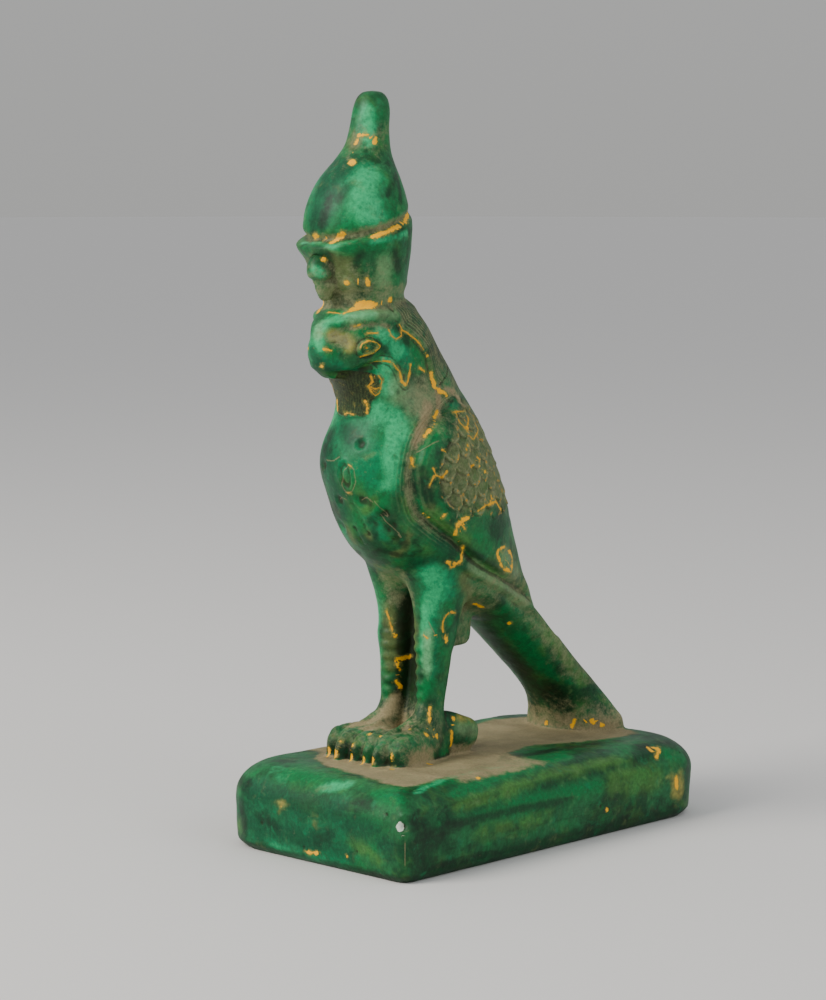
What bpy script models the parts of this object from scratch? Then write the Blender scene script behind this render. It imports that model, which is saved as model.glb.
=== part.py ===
"""Falcon god statuette: a crowned falcon standing on a rounded plinth, cast in one piece.

Units are metres and +Z is up. The falcon looks towards -Y and its left side is +X. The origin is
the middle of the plinth's underside. The stations and profiles below are written in millimetres.
"""

import math

import bmesh
import bpy
import numpy as np
from mathutils import Matrix, Vector

MM = 0.001

# Plinth
PLINTH_LENGTH = 90.0
PLINTH_WIDTH = 51.6
PLINTH_HEIGHT = 16.0
PLINTH_CORNER_RADIUS = 10.0
PLINTH_SHARP_CORNER_RADIUS = 2.0
PLINTH_TOP_RADIUS = 6.5
PLINTH_FOOT_RADIUS = 1.4
PLINTH_TAPER = 0.5
PLINTH_TOP_SLOPE = 0.014

# Where the falcon stands on the plinth, and its height with the plinth
FALCON_X = -3.0
FALCON_Y = -1.5
STATUE_HEIGHT = 145.0

# Legs
LEG_SPACING = 9.8
RIGHT_TOES_X = (-8.8, -4.8, -1.3)
LEFT_TOES_X = (8.3, 5.4, 2.0)

# Modelling grid and the finished mesh
GRID = 0.6
BLEND_STEPS = 4
BODY_BLEND_STEPS = 40
BIRD_TRIANGLES = 8400

# The falcon is drawn on its own axes: X from its middle plane, Y from its standing point, Z from
# the table, with the top of the plinth at DRAWN_GROUND and the tip of the crown at DRAWN_TOP.
DRAWN_GROUND = 16.0
DRAWN_TOP = 145.0

# Level sections, top to bottom: height, middle Y, half width, half depth
CROWN = [
    (145.0, -22.6, 0.6, 0.6),
    (144.6, -22.6, 2.1, 2.1),
    (143.3, -22.7, 3.1, 3.1),
    (141.2, -22.9, 3.6, 3.6),
    (138.0, -23.4, 3.8, 3.8),
    (134.9, -23.9, 4.3, 4.3),
    (132.5, -24.7, 5.3, 5.3),
    (128.2, -26.0, 7.9, 7.9),
    (123.7, -26.6, 9.6, 9.6),
    (119.4, -26.7, 10.3, 10.3),
    (114.8, -26.6, 10.1, 10.1),
    (110.2, -26.2, 9.2, 9.2),
    (106.0, -25.2, 8.3, 8.3),
    (101.5, -24.2, 8.0, 8.0),
]
TORSO = [
    (106.6, -24.4, 5.8, 6.8),
    (105.4, -24.3, 7.6, 8.9),
    (103.0, -24.1, 8.4, 10.4),
    (100.0, -23.0, 9.0, 12.1),
    (96.4, -20.9, 9.2, 12.5),
    (91.9, -18.3, 9.3, 13.5),
    (87.2, -15.6, 10.3, 13.5),
    (82.5, -14.1, 12.5, 14.9),
    (77.8, -14.1, 14.4, 17.2),
    (73.2, -13.3, 15.2, 18.5),
    (68.4, -11.2, 15.2, 18.8),
    (63.4, -9.3, 14.7, 18.9),
    (58.4, -6.8, 13.8, 18.5),
    (53.4, -2.6, 12.4, 16.6),
    (48.6, 2.2, 10.8, 12.8),
    (44.5, 6.6, 8.8, 8.2),
    (41.0, 10.2, 6.0, 4.2),
]
TAIL = [
    (60.0, -0.5, 9.0, 8.0),
    (52.0, 4.0, 9.2, 8.0),
    (46.0, 8.5, 9.0, 7.5),
    (42.0, 12.1, 8.6, 7.0),
    (38.3, 16.1, 8.2, 6.8),
    (34.8, 20.2, 8.0, 6.8),
    (31.5, 23.7, 7.9, 6.6),
    (28.6, 27.0, 7.9, 6.5),
    (25.2, 30.5, 8.2, 6.4),
    (22.3, 33.2, 8.8, 6.5),
    (19.5, 35.0, 9.8, 6.9),
    (17.4, 35.8, 10.8, 7.2),
    (13.0, 35.8, 11.0, 7.2),
]
THIGH = [
    (61.0, -5.4, 7.2, 12.0),
    (57.0, -6.2, 7.4, 11.8),
    (53.5, -7.4, 6.8, 10.2),
    (50.5, -8.5, 5.6, 8.2),
    (47.5, -9.2, 4.6, 6.5),
    (44.5, -9.7, 4.0, 5.5),
    (41.5, -10.1, 3.6, 4.9),
    (38.4, -10.5, 3.35, 4.6),
    (36.5, -10.8, 3.0, 4.1),
    (34.6, -10.9, 2.9, 3.85),
    (30.7, -11.3, 2.7, 3.45),
    (26.9, -11.7, 2.5, 3.05),
    (24.5, -12.4, 2.7, 3.7),
    (22.0, -13.4, 3.3, 5.0),
    (13.5, -14.0, 3.8, 5.6),
]
WEB = [
    (58.0, -3.0, 5.0, 6.0),
    (48.0, -2.6, 4.6, 5.6),
    (42.0, -2.4, 4.2, 5.2),
    (38.2, -2.3, 3.9, 4.9),
    (36.8, -2.6, 3.3, 4.2),
]
WEB_LOW = [
    (55.0, -7.4, 3.4, 2.6),
    (41.0, -8.2, 3.2, 2.0),
    (28.0, -9.2, 3.0, 1.7),
    (22.0, -10.6, 3.2, 2.4),
    (13.5, -11.6, 3.4, 3.0),
]

# Sections along Y, back to front: middle Y, height, half width, half height
BEAK = [
    (-22.0, 97.4, 8.0, 6.6),
    (-28.0, 97.4, 7.8, 6.5),
    (-31.5, 97.3, 6.8, 6.2),
    (-34.5, 97.0, 5.2, 5.6),
    (-36.2, 96.8, 3.8, 4.4),
    (-37.4, 96.7, 2.6, 3.0),
    (-38.1, 96.7, 1.2, 1.5),
]
FOOT = [
    (-7.5, 19.2, 2.2, 3.6),
    (-11.0, 19.5, 3.0, 5.1),
    (-15.0, 19.2, 3.7, 4.8),
    (-19.0, 18.7, 4.4, 4.0),
    (-23.0, 18.3, 4.9, 3.4),
    (-25.0, 17.8, 4.6, 2.6),
]

# Carved lines seen from the side: Y and Z
WING_EDGE = [
    (-10.0, 86.5),
    (-15.5, 83.6),
    (-20.5, 80.0),
    (-24.0, 76.0),
    (-24.8, 72.0),
    (-23.6, 67.0),
    (-20.0, 62.0),
    (-14.0, 57.8),
    (-7.0, 53.6),
    (-0.5, 50.2),
    (7.0, 47.0),
    (13.0, 43.6),
    (19.0, 39.2),
    (23.0, 35.0),
]
WIG_EDGE = [
    (-25.2, 104.6),
    (-24.0, 100.4),
    (-21.0, 98.6),
    (-17.6, 96.0),
    (-16.3, 92.0),
    (-15.2, 88.8),
    (-13.0, 87.2),
    (-9.5, 86.2),
    (-5.0, 85.0),
]
BROW = [
    (-37.0, 100.6),
    (-35.0, 101.9),
    (-32.5, 102.8),
    (-28.5, 103.0),
    (-25.0, 102.2),
]
CHEEK = [
    (-31.5, 94.5),
    (-28.0, 95.0),
    (-25.8, 94.0),
    (-24.2, 91.6),
    (-23.2, 89.6),
]
JAW = [
    (-38.0, 92.6),
    (-34.0, 93.0),
    (-30.5, 93.9),
    (-28.0, 94.6),
]
EYE = (-30.8, 97.3)
LORE = (-34.4, 98.6)
CROWN_MIDDLE_Y = -26.5
CROWN_RIM_Z = 119.4
CROWN_RIM_RISE = 0.30
CROWN_FOOT_BAND = (104.0, 107.7)

# The cobra on the front of the crown: middle, radii and tilt of its head and its chest
COBRA_HEAD = ((0.0, -36.3, 111.2), (2.3, 2.9, 2.5), 20.0)
COBRA_CHEST = ((0.0, -35.0, 107.9), (2.0, 2.5, 3.1), -20.0)

# Toes: stations along Y with the height, half width, half height and how far over from the leg's
# middle to the toe's own
TOE_TIP_Y = -26.8
TOE_KNUCKLE_Y = -23.0
FRONT_TOE = [
    (-12.0, 18.5, 1.7, 3.5, 0.5),
    (-18.0, 18.4, 1.9, 4.0, 0.92),
    (-22.8, 18.3, 1.9, 3.9, 1.07),
    (-25.6, 18.1, 1.7, 3.4, 1.04),
    (-27.0, 17.7, 1.3, 2.6, 1.0),
    (-27.8, 17.2, 0.6, 1.4, 1.0),
]
REAR_TOE = [
    (-12.0, 20.0, 2.0, 3.6, 0.0),
    (-8.5, 20.4, 2.4, 4.6, 0.2),
    (-5.5, 20.0, 2.5, 4.3, 0.5),
    (-3.0, 19.7, 2.4, 3.7, 0.7),
    (-1.0, 20.0, 2.0, 2.6, 0.8),
    (0.2, 20.3, 1.0, 1.2, 0.8),
]


def reset_scene():
    """Removes whatever the file holds."""
    for obj in list(bpy.data.objects):
        bpy.data.objects.remove(obj, do_unlink=True)


def new_collection(name):
    """Makes a collection in the scene and returns it."""
    collection = bpy.data.collections.new(name)
    bpy.context.scene.collection.children.link(collection)
    return collection


def smooth_rows(stations, count):
    """Reads count rows from a smooth curve through the stations (Catmull-Rom)."""
    rows = np.array(stations, float)
    padded = np.vstack([2 * rows[0] - rows[1], rows, 2 * rows[-1] - rows[-2]])
    out = []
    for place in np.linspace(0, len(rows) - 1, count):
        i = min(int(place), len(rows) - 2)
        t = place - i
        a, b, c, d = padded[i : i + 4]
        bend = (2 * a - 5 * b + 4 * c - d) * t**2
        twist = (3 * b - a - 3 * c + d) * t**3
        out.append(0.5 * (2 * b + (c - a) * t + bend + twist))
    return np.array(out)


def superellipse(half_u, half_v, power, sides):
    """Points of a superellipse, counter-clockwise."""
    points = []
    for k in range(sides):
        angle = 2 * math.pi * k / sides
        c, s = math.cos(angle), math.sin(angle)
        u = math.copysign(abs(c) ** (2 / power), c) * half_u
        v = math.copysign(abs(s) ** (2 / power), s) * half_v
        points.append((u, v))
    return points


def loft(rings):
    """Joins rings of points into one closed tube with capped ends and returns its bmesh."""
    shape = bmesh.new()
    rows = [[shape.verts.new(p) for p in points] for points in rings]
    sides = len(rows[0])
    for low, high in zip(rows, rows[1:]):
        for k in range(sides):
            shape.faces.new((low[k], low[(k + 1) % sides], high[(k + 1) % sides], high[k]))
    shape.faces.new(reversed(rows[0]))
    shape.faces.new(rows[-1])
    bmesh.ops.recalc_face_normals(shape, faces=shape.faces)
    return shape


def level_loft(stations, power=2.0, side=0.0, flare=0.0, rows=60, sides=56):
    """A loft of level sections, moved sideways by side and widened towards the back by flare."""
    rings = []
    for z, y, a, b in smooth_rows(stations, rows):
        ring = []
        for u, v in superellipse(max(a, 0.2), max(b, 0.2), power, sides):
            ring.append((side + u * (1 + flare * v / b), y + v, z))
        rings.append(ring)
    return loft(rings)


def forward_loft(stations, power=2.0, side=0.0, rows=40, sides=40):
    """A loft of upright sections along Y. A fifth number in a station moves it sideways."""
    rings = []
    for y, z, a, b, *shift in smooth_rows(stations, rows):
        middle = side + sum(shift)
        ring = []
        for u, v in superellipse(max(a, 0.2), max(b, 0.2), power, sides):
            ring.append((middle + u, y, z + v))
        rings.append(ring)
    return loft(rings)


def ball(middle, radii, tilt=0.0):
    """An ellipsoid, tipped about X by tilt degrees."""
    shape = bmesh.new()
    bmesh.ops.create_uvsphere(shape, u_segments=28, v_segments=18, radius=1.0)
    c, s = math.cos(math.radians(tilt)), math.sin(math.radians(tilt))
    for vert in shape.verts:
        x, y, z = (value * radius for value, radius in zip(vert.co, radii))
        vert.co = Vector(middle) + Vector((x, y * c - z * s, y * s + z * c))
    return shape


def toes(side, places):
    """Three front toes and the rear toe of one foot, as closed shapes. The outer toe comes first."""
    shapes = [forward_loft(FOOT, 2.4, side)]
    for place, shorter in zip(places, (1.5, 0.0, 0.7)):
        stations = []
        for y, z, a, b, share in FRONT_TOE:
            y += shorter * max(0.0, (y - TOE_KNUCKLE_Y) / (TOE_TIP_Y - TOE_KNUCKLE_Y))
            stations.append((y, z, a, b, share * (place - side)))
        shapes.append(forward_loft(stations, 2.4, side, 24, 20))
    outward = math.copysign(1.0, side)
    rear = [(y, z, a, b, share * outward) for y, z, a, b, share in REAR_TOE]
    shapes.append(forward_loft(rear, 2.2, side, 24, 20))
    return shapes


def plinth():
    """The plinth: a cushion-shaped block with one sharper corner at +X, -Y."""
    half_w = PLINTH_WIDTH / 2
    half_l = PLINTH_LENGTH / 2
    levels = [(0.0, PLINTH_FOOT_RADIUS), (0.35, 0.45 * PLINTH_FOOT_RADIUS), (PLINTH_FOOT_RADIUS, 0.0)]
    shoulder = PLINTH_HEIGHT - PLINTH_TOP_RADIUS
    for k in range(7):
        angle = math.radians(15 * k)
        levels.append(
            (shoulder + PLINTH_TOP_RADIUS * math.sin(angle), PLINTH_TOP_RADIUS * (1 - math.cos(angle)))
        )
    rings = []
    for z, inset in levels:
        taper = PLINTH_TAPER * max(0.0, 1 - z / shoulder) ** 1.5
        ring = []
        for quarter, (sx, sy) in enumerate([(1, 1), (-1, 1), (-1, -1), (1, -1)]):
            sharp = quarter == 3
            radius = PLINTH_SHARP_CORNER_RADIUS if sharp else PLINTH_CORNER_RADIUS
            radius = max(radius - 0.3 * inset, 1.2)
            cx = sx * (half_w - inset - taper - radius)
            cy = sy * (half_l - inset - taper - radius)
            for k in range(9):
                angle = math.radians(90 * quarter + 90 * k / 8)
                x = cx + radius * math.cos(angle)
                y = cy + radius * math.sin(angle)
                rise = -PLINTH_TOP_SLOPE * y * max(0.0, z - shoulder) / PLINTH_TOP_RADIUS
                ring.append((x, y, z + rise))
        rings.append(ring)
    return loft(rings)


def merged(shapes, name, collection):
    """Puts several closed shapes, drawn in millimetres, into one object in metres."""
    whole = bmesh.new()
    for shape in shapes:
        mesh = bpy.data.meshes.new("shape")
        bmesh.ops.scale(shape, vec=Vector((MM, MM, MM)), verts=shape.verts)
        shape.to_mesh(mesh)
        shape.free()
        whole.from_mesh(mesh)
        bpy.data.meshes.remove(mesh)
    mesh = bpy.data.meshes.new(name)
    whole.to_mesh(mesh)
    whole.free()
    obj = bpy.data.objects.new(name, mesh)
    collection.objects.link(obj)
    return obj


def falcon_shapes():
    """The closed shapes whose union is the falcon before it is carved."""
    shapes = [
        level_loft(CROWN),
        level_loft(TORSO),
        forward_loft(BEAK, 2.2),
        level_loft(TAIL, 2.5, 0.0, 0.22),
        level_loft(WEB, 3.0),
        level_loft(WEB_LOW, 2.6),
        ball(*COBRA_HEAD),
        ball(*COBRA_CHEST),
    ]
    for side, places in ((-LEG_SPACING / 2, RIGHT_TOES_X), (LEG_SPACING / 2, LEFT_TOES_X)):
        shapes.append(level_loft(THIGH, 2.0, side))
        shapes.extend(toes(side, places))
    return shapes


def curve_points(stations):
    """A smooth line through a few carved points."""
    return smooth_rows(stations, 10 * len(stations))


def signed_distance(y, z, line):
    """Distance of points from a line in the side view, positive on the line's left hand."""
    start, end = line[:-1], line[1:]
    run = end - start
    best = np.full(len(y), 1e9)
    sign = np.ones(len(y))
    for (sy, sz), (ry, rz) in zip(start, run):
        t = np.clip(((y - sy) * ry + (z - sz) * rz) / (ry * ry + rz * rz), 0, 1)
        dy, dz = y - sy - t * ry, z - sz - t * rz
        gap = dy * dy + dz * dz
        nearer = gap < best
        best = np.where(nearer, gap, best)
        sign = np.where(nearer, np.sign(ry * dz - rz * dy), sign)
    return np.sqrt(best) * sign


def rise(value, low, high):
    """A smooth step from 0 at low to 1 at high."""
    t = np.clip((value - low) / (high - low), 0, 1)
    return t * t * (3 - 2 * t)


def bump(value, middle, width):
    """A smooth hump of height 1."""
    return np.exp(-(((value - middle) / width) ** 2))


def carved_depth(x, y, z):
    """How far the surface stands out (or in, if negative) at each point, in millimetres."""
    side = np.abs(x)
    depth = np.zeros(len(x))

    above_rim = z - CROWN_RIM_Z - CROWN_RIM_RISE * (y - CROWN_MIDDLE_Y)
    on_crown = rise(z, 107, 110)
    front = rise(-y, 28, 36)
    lip = np.where(above_rim > -0.7, bump(above_rim, -0.7, 0.7), bump(above_rim, -0.7, 2.4))
    depth += on_crown * (0.15 + 1.35 * front) * lip
    depth -= on_crown * (0.25 + 0.45 * rise(-y, 18, 26)) * bump(above_rim, 0.9, 0.9)
    band_low, band_high = CROWN_FOOT_BAND
    band = rise(z, band_low - 1, band_low + 1) * rise(-z, -band_high - 1.3, -band_high + 1.2)
    depth -= 0.6 * band * rise(-y, 16, 20)

    wing = signed_distance(y, z, curve_points(WING_EDGE))
    on_side = rise(side, 2.5, 6.5) * rise(z, 34, 40) * rise(-z, -88, -84)
    depth += on_side * 0.45 * rise(wing, -0.2, 1.2)
    depth -= on_side * 0.75 * bump(wing, -0.9, 1.2)
    depth -= 0.35 * rise(y + 0.55 * z, 43.0, 49.0) * rise(z, 42, 48) * rise(-z, -88, -82)

    wig = signed_distance(y, z, curve_points(WIG_EDGE))
    on_head = rise(side, 3.0, 5.5) * rise(z, 84, 87) * rise(-z, -105.5, -104)
    depth += on_head * 0.4 * rise(wig, -0.4, 0.6)
    depth -= on_head * 0.35 * bump(wig, -0.8, 0.8)

    brow = signed_distance(y, z, curve_points(BROW))
    face = rise(-y, 22, 26) * rise(side, 0.8, 2.6)
    depth += face * 0.6 * bump(brow, 0.0, 1.0)
    lore_y, lore_z = LORE
    depth -= face * 1.0 * bump(np.hypot((y - lore_y) / 3.2, (z - lore_z) / 1.9), 0, 0.8)
    eye_y, eye_z = EYE
    reach = np.hypot((y - eye_y) / 2.8, (z - eye_z) / 1.5)
    depth += face * 0.4 * rise(-reach, -1.1, -0.6)
    depth -= face * 0.35 * bump(reach, 1.45, 0.28)
    cheek = signed_distance(y, z, curve_points(CHEEK))
    depth -= face * 0.45 * bump(cheek, 0.0, 0.7)
    jaw = signed_distance(y, z, curve_points(JAW))
    depth -= face * 0.9 * bump(jaw, -1.0, 1.1) * rise(-y, 27, 29)
    return depth


def carve(obj):
    """Moves each point of the surface along its normal by the carved depth."""
    mesh = obj.data
    count = len(mesh.vertices)
    places = np.empty(count * 3, np.float32)
    mesh.vertices.foreach_get("co", places)
    places = places.reshape(-1, 3)
    normals = np.empty(count * 3, np.float32)
    mesh.vertex_normals.foreach_get("vector", normals)
    normals = normals.reshape(-1, 3)
    x, y, z = (places / MM).T.astype(float)
    depth = carved_depth(x, y, z)
    places += normals * (depth * MM).astype(np.float32)[:, None]
    mesh.vertices.foreach_set("co", places.ravel())
    mesh.update()


def stand_on_plinth(obj):
    """Takes the falcon from the axes it is drawn on to its size and place on the plinth."""
    scale = (STATUE_HEIGHT - PLINTH_HEIGHT) / (DRAWN_TOP - DRAWN_GROUND)
    drop = Matrix.Translation((0, 0, -DRAWN_GROUND * MM))
    lift = Matrix.Translation((FALCON_X * MM, FALCON_Y * MM, PLINTH_HEIGHT * MM))
    obj.data.transform(lift @ Matrix.Scale(scale, 4) @ drop)


def mark_body(obj):
    """Makes the vertex group of the body, where the shapes flow into one another."""
    group = obj.vertex_groups.new(name="body")
    for vert in obj.data.vertices:
        z = vert.co.z / MM
        weight = min(1.0, max(0.0, (z - 38) / 8)) * min(1.0, max(0.0, (91 - z) / 5))
        if weight > 0:
            group.add([vert.index], weight, "REPLACE")


def fix_modifiers(obj):
    """Replaces an object's mesh by what its modifiers make of it."""
    graph = bpy.context.evaluated_depsgraph_get()
    mesh = bpy.data.meshes.new_from_object(obj.evaluated_get(graph))
    old = obj.data
    obj.modifiers.clear()
    obj.data = mesh
    bpy.data.meshes.remove(old)


def stone_material():
    """Mottled green with a soft shine."""
    material = bpy.data.materials.new("mottled green")
    material.use_nodes = True
    shader = material.node_tree.nodes["Principled BSDF"]
    shader.inputs["Base Color"].default_value = (0.02, 0.16, 0.07, 1.0)
    shader.inputs["Roughness"].default_value = 0.42
    shader.inputs["Metallic"].default_value = 0.0
    return material


def main():
    """Builds the statuette."""
    reset_scene()
    collection = new_collection("falcon_god_statue")
    cutters = new_collection("cutters")

    statue = merged(falcon_shapes(), "falcon_statue", collection)
    grid = statue.modifiers.new("One skin", "REMESH")
    grid.mode = "VOXEL"
    grid.voxel_size = GRID * MM
    fix_modifiers(statue)
    mark_body(statue)
    for name, steps in (("", BLEND_STEPS), ("body", BODY_BLEND_STEPS)):
        blend = statue.modifiers.new("Blend", "SMOOTH")
        blend.factor = 0.5
        blend.iterations = steps
        blend.vertex_group = name
    fix_modifiers(statue)
    carve(statue)
    stand_on_plinth(statue)
    thin = statue.modifiers.new("Facets", "DECIMATE")
    thin.ratio = BIRD_TRIANGLES / (2 * len(statue.data.polygons))
    fix_modifiers(statue)

    base = merged([plinth()], "plinth_form", cutters)
    base.hide_render = True
    base.display_type = "WIRE"
    union = statue.modifiers.new("Stand", "BOOLEAN")
    union.operation = "UNION"
    union.solver = "EXACT"
    union.object = base
    fix_modifiers(statue)

    statue.data.materials.clear()
    statue.data.materials.append(stone_material())
    statue.data.shade_smooth()
    statue.data.set_sharp_from_angle(angle=math.radians(40))


main()
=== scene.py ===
"""Looks of the falcon god statuette: the fine carving, the mottled green casting and its studio.

The casting is one piece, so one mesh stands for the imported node. Its forms are drawn in millimetres
on the falcon's own axes: X from its middle plane with its left side at +X, Y from its standing
point with the beak towards -Y, Z from the table.
"""

import logging
import math
from dataclasses import dataclass, field
from enum import Enum

import bpy
import numpy as np
from mathutils import Matrix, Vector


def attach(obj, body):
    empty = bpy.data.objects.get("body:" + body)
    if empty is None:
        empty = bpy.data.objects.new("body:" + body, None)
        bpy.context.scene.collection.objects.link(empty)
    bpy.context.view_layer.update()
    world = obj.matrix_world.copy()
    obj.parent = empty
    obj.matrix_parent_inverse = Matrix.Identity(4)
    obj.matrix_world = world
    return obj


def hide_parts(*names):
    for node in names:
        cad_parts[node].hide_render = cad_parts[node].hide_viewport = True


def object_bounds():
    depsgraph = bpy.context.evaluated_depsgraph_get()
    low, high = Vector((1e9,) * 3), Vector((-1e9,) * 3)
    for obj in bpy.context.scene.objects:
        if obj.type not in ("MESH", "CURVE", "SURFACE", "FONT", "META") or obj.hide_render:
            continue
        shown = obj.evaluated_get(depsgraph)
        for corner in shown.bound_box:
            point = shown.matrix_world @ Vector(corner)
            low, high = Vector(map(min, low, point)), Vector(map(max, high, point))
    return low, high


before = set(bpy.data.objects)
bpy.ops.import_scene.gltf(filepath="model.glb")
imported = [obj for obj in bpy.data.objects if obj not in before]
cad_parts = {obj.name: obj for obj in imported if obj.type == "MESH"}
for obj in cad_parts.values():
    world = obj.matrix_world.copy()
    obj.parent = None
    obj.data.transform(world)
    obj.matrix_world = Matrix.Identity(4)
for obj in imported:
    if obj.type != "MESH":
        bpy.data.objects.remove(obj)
CAD_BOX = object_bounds()

MM = 0.001
NODE = "falcon_statue"
SLOT = "green_casting"
FALCON_PLACE = (-3.0, -1.5)  # where the falcon's own axes stand on the table
FAR_OFF = 1e9  # farther than anything here
MIRROR = (-1, 1, 1)
STROKE_SHIFT = (0, 1.9, -1.7)  # how far the strokes of the other side are off
WASH_SHIFT = (0, 1.0, -1.0)
WASH_SOFTNESS = 1.3  # reach of a wash, as a share of its radius

Array = np.ndarray
Object = bpy.types.Object
Socket = bpy.types.NodeSocket
Colour = tuple[float, float, float]
Point = tuple[float, float, float]
log = logging.getLogger("falcon")


class Run(Enum):
    """The way a loft runs."""

    LEVEL = "sections lie level and follow one another up or down"
    FORWARD = "sections stand upright and follow one another along Y"


class Stain(Enum):
    """The stains of the casting; some washes of them are painted highlight and shade."""

    # PALE is partly a painted highlight, on the crown's glow and along the rim's lip.
    PALE = "light mint, where the green thins out"
    TURQUOISE = "blue green"
    EMERALD = "full green"
    MOSS = "yellow green"
    OLIVE = "dull olive"
    # Some DARK and DEEP washes, on one side of the breast only, are painted shade.
    DARK = "bottle green, nearly black"
    OCHRE = "a rub of dull gold"
    DEEP = "a thick dark glaze"
    MILKY = "a thin milky film"
    DUST = "sandy dust"


def smooth_rows(stations: tuple, count: int) -> Array:
    """Reads rows from a smooth curve through stations (Catmull-Rom).

    Args:
        stations: The rows that the curve passes through.
        count: How many rows to read.

    Returns:
        The rows, evenly spaced between the stations.
    """
    rows = np.array(stations, float)
    padded = np.vstack([2 * rows[0] - rows[1], rows, 2 * rows[-1] - rows[-2]])
    place = np.linspace(0, len(rows) - 1, count)
    i = np.minimum(place.astype(int), len(rows) - 2)
    t = (place - i)[:, None]
    a, b, c, d = padded[i], padded[i + 1], padded[i + 2], padded[i + 3]
    bend = (2 * a - 5 * b + 4 * c - d) * t**2
    twist = (3 * b - a - 3 * c + d) * t**3
    return 0.5 * (2 * b + (c - a) * t + bend + twist)


def rise(value: Array, low: float, high: float) -> Array:
    """A smooth step from 0 at low to 1 at high, or down from high to low if high is less."""
    t = np.clip((value - low) / (high - low), 0, 1)
    return t * t * (3 - 2 * t)


def window(value: Array, start: float, full: float, fading: float, gone: float) -> Array:
    """1 between full and fading, 0 before start and after gone, and smooth in between."""
    return rise(value, start, full) * rise(value, gone, fading)


def bump(value: Array, middle: float, width: float) -> Array:
    """A smooth hump of height 1."""
    return np.exp(-(((value - middle) / width) ** 2))


def cloud(places: Array, size: float, seed: int = 0) -> Array:
    """Smooth value noise between -1 and 1.

    Args:
        places: Points in millimetres, one a row.
        size: Width of one cell of the noise.
        seed: Picks the pattern.

    Returns:
        One value a point.
    """
    grid = places / size + 100.0
    cell = np.floor(grid).astype(np.int64)
    t = grid - cell
    t = t * t * (3 - 2 * t)
    total = np.zeros(len(places))
    for corner in range(8):
        step = np.array([corner & 1, corner >> 1 & 1, corner >> 2 & 1])
        key = ((cell + step) * np.array([73856093, 19349663, 83492791])).sum(1) + seed * 2654435761
        key = (key ^ key >> 13) * 1274126177 & 0xFFFFFFFF
        key = (key ^ key >> 16) & 0xFFFF
        weight = np.where(step, t, 1 - t).prod(1)
        total += weight * (key / 32767.5 - 1)
    return total


def alone(obj: Object) -> None:
    """Makes one object the only selected and the active one.

    Args:
        obj: The object.
    """
    if bpy.context.mode != "OBJECT":
        bpy.ops.object.mode_set(mode="OBJECT")
    bpy.ops.object.select_all(action="DESELECT")
    obj.select_set(True)
    bpy.context.view_layer.objects.active = obj


def read_points(obj: Object) -> Array:
    """The vertices of a mesh in millimetres, one a row.

    Args:
        obj: The mesh's object.

    Returns:
        One point a row.
    """
    places = np.empty(len(obj.data.vertices) * 3)
    obj.data.vertices.foreach_get("co", places)
    return places.reshape(-1, 3) / MM


def write_points(obj: Object, places: Array) -> None:
    """Puts the vertices of a mesh at places in millimetres."""
    obj.data.vertices.foreach_set("co", (places * MM).ravel())
    obj.data.update()


def close_form() -> None:
    """Turns the faces of the form in edit mode outward and leaves edit mode."""
    bpy.ops.mesh.select_all(action="SELECT")
    bpy.ops.mesh.normals_make_consistent(inside=False)
    bpy.ops.object.mode_set(mode="OBJECT")


def pull_to(shift: tuple, scale: tuple, middle: tuple) -> None:
    """Extrudes the selected section by a shift and scales it about a middle."""
    bpy.ops.mesh.extrude_region_move(TRANSFORM_OT_translate={"value": shift})
    bpy.ops.transform.resize(value=scale, center_override=middle)


def apply_modifier(obj: Object, kind: str, **settings: object) -> None:
    """Adds a modifier and applies it.

    Args:
        obj: The object that gets it.
        kind: The modifier's type.
        settings: Its settings by name.
    """
    alone(obj)
    modifier = obj.modifiers.new("Step", kind)
    for name, value in settings.items():
        setattr(modifier, name, value)
    bpy.ops.object.modifier_apply(modifier=modifier.name)


@dataclass(frozen=True)
class Loft:
    """A closed form swept through stations.

    A LEVEL station is height, middle Y, half width and half depth. A FORWARD station is middle Y,
    height, half width and half height, and a fifth number moves it sideways.
    """

    stations: tuple
    run: Run = Run.LEVEL
    power: float = 2.0
    side: float = 0.0
    flare: float = 0.0
    rows: int = 48
    edges: int = 48

    def profile(self) -> Array:
        """One superellipse section of half width 1, widened to the back by the flare.

        Returns:
            One point a row, for a section of size 1.
        """
        angle = np.arange(self.edges) * 2 * math.pi / self.edges
        u = np.sign(np.cos(angle)) * np.abs(np.cos(angle)) ** (2 / self.power)
        v = np.sign(np.sin(angle)) * np.abs(np.sin(angle)) ** (2 / self.power)
        return np.stack([u * (1 + self.flare * v), v], 1)

    def section(self, row: Array) -> tuple[Array, Array]:
        """Where a section is and how large.

        Args:
            row: The station's numbers.

        Returns:
            Its middle and its half sizes along X, Y and Z, in metres.
        """
        first, second, a, b = row[:4]
        shift = self.side + row[4:].sum()
        a, b = max(a, 0.2), max(b, 0.2)
        if self.run is Run.LEVEL:
            return np.array([shift, second, first]) * MM, np.array([a, b, MM]) * MM
        return np.array([shift, first, second]) * MM, np.array([a, MM, b]) * MM

    def build(self) -> Object:
        """Draws the first section and pulls it through the others.

        Returns:
            The closed form.
        """
        rows = smooth_rows(self.stations, self.rows)
        middle, half = self.section(rows[0])
        bpy.ops.object.select_all(action="DESELECT")
        bpy.ops.mesh.primitive_circle_add(vertices=self.edges, radius=1.0, fill_type="NGON")
        form = bpy.context.active_object
        ring = np.insert(self.profile(), 2 if self.run is Run.LEVEL else 1, 0.0, 1)
        write_points(form, (ring * half + middle) / MM)
        bpy.ops.object.mode_set(mode="EDIT")
        bpy.ops.mesh.select_all(action="SELECT")
        for row in rows[1:]:
            following, size = self.section(row)
            pull_to(tuple(following - middle), tuple(size / half), tuple(following))
            middle, half = following, size
        close_form()
        return form


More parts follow.
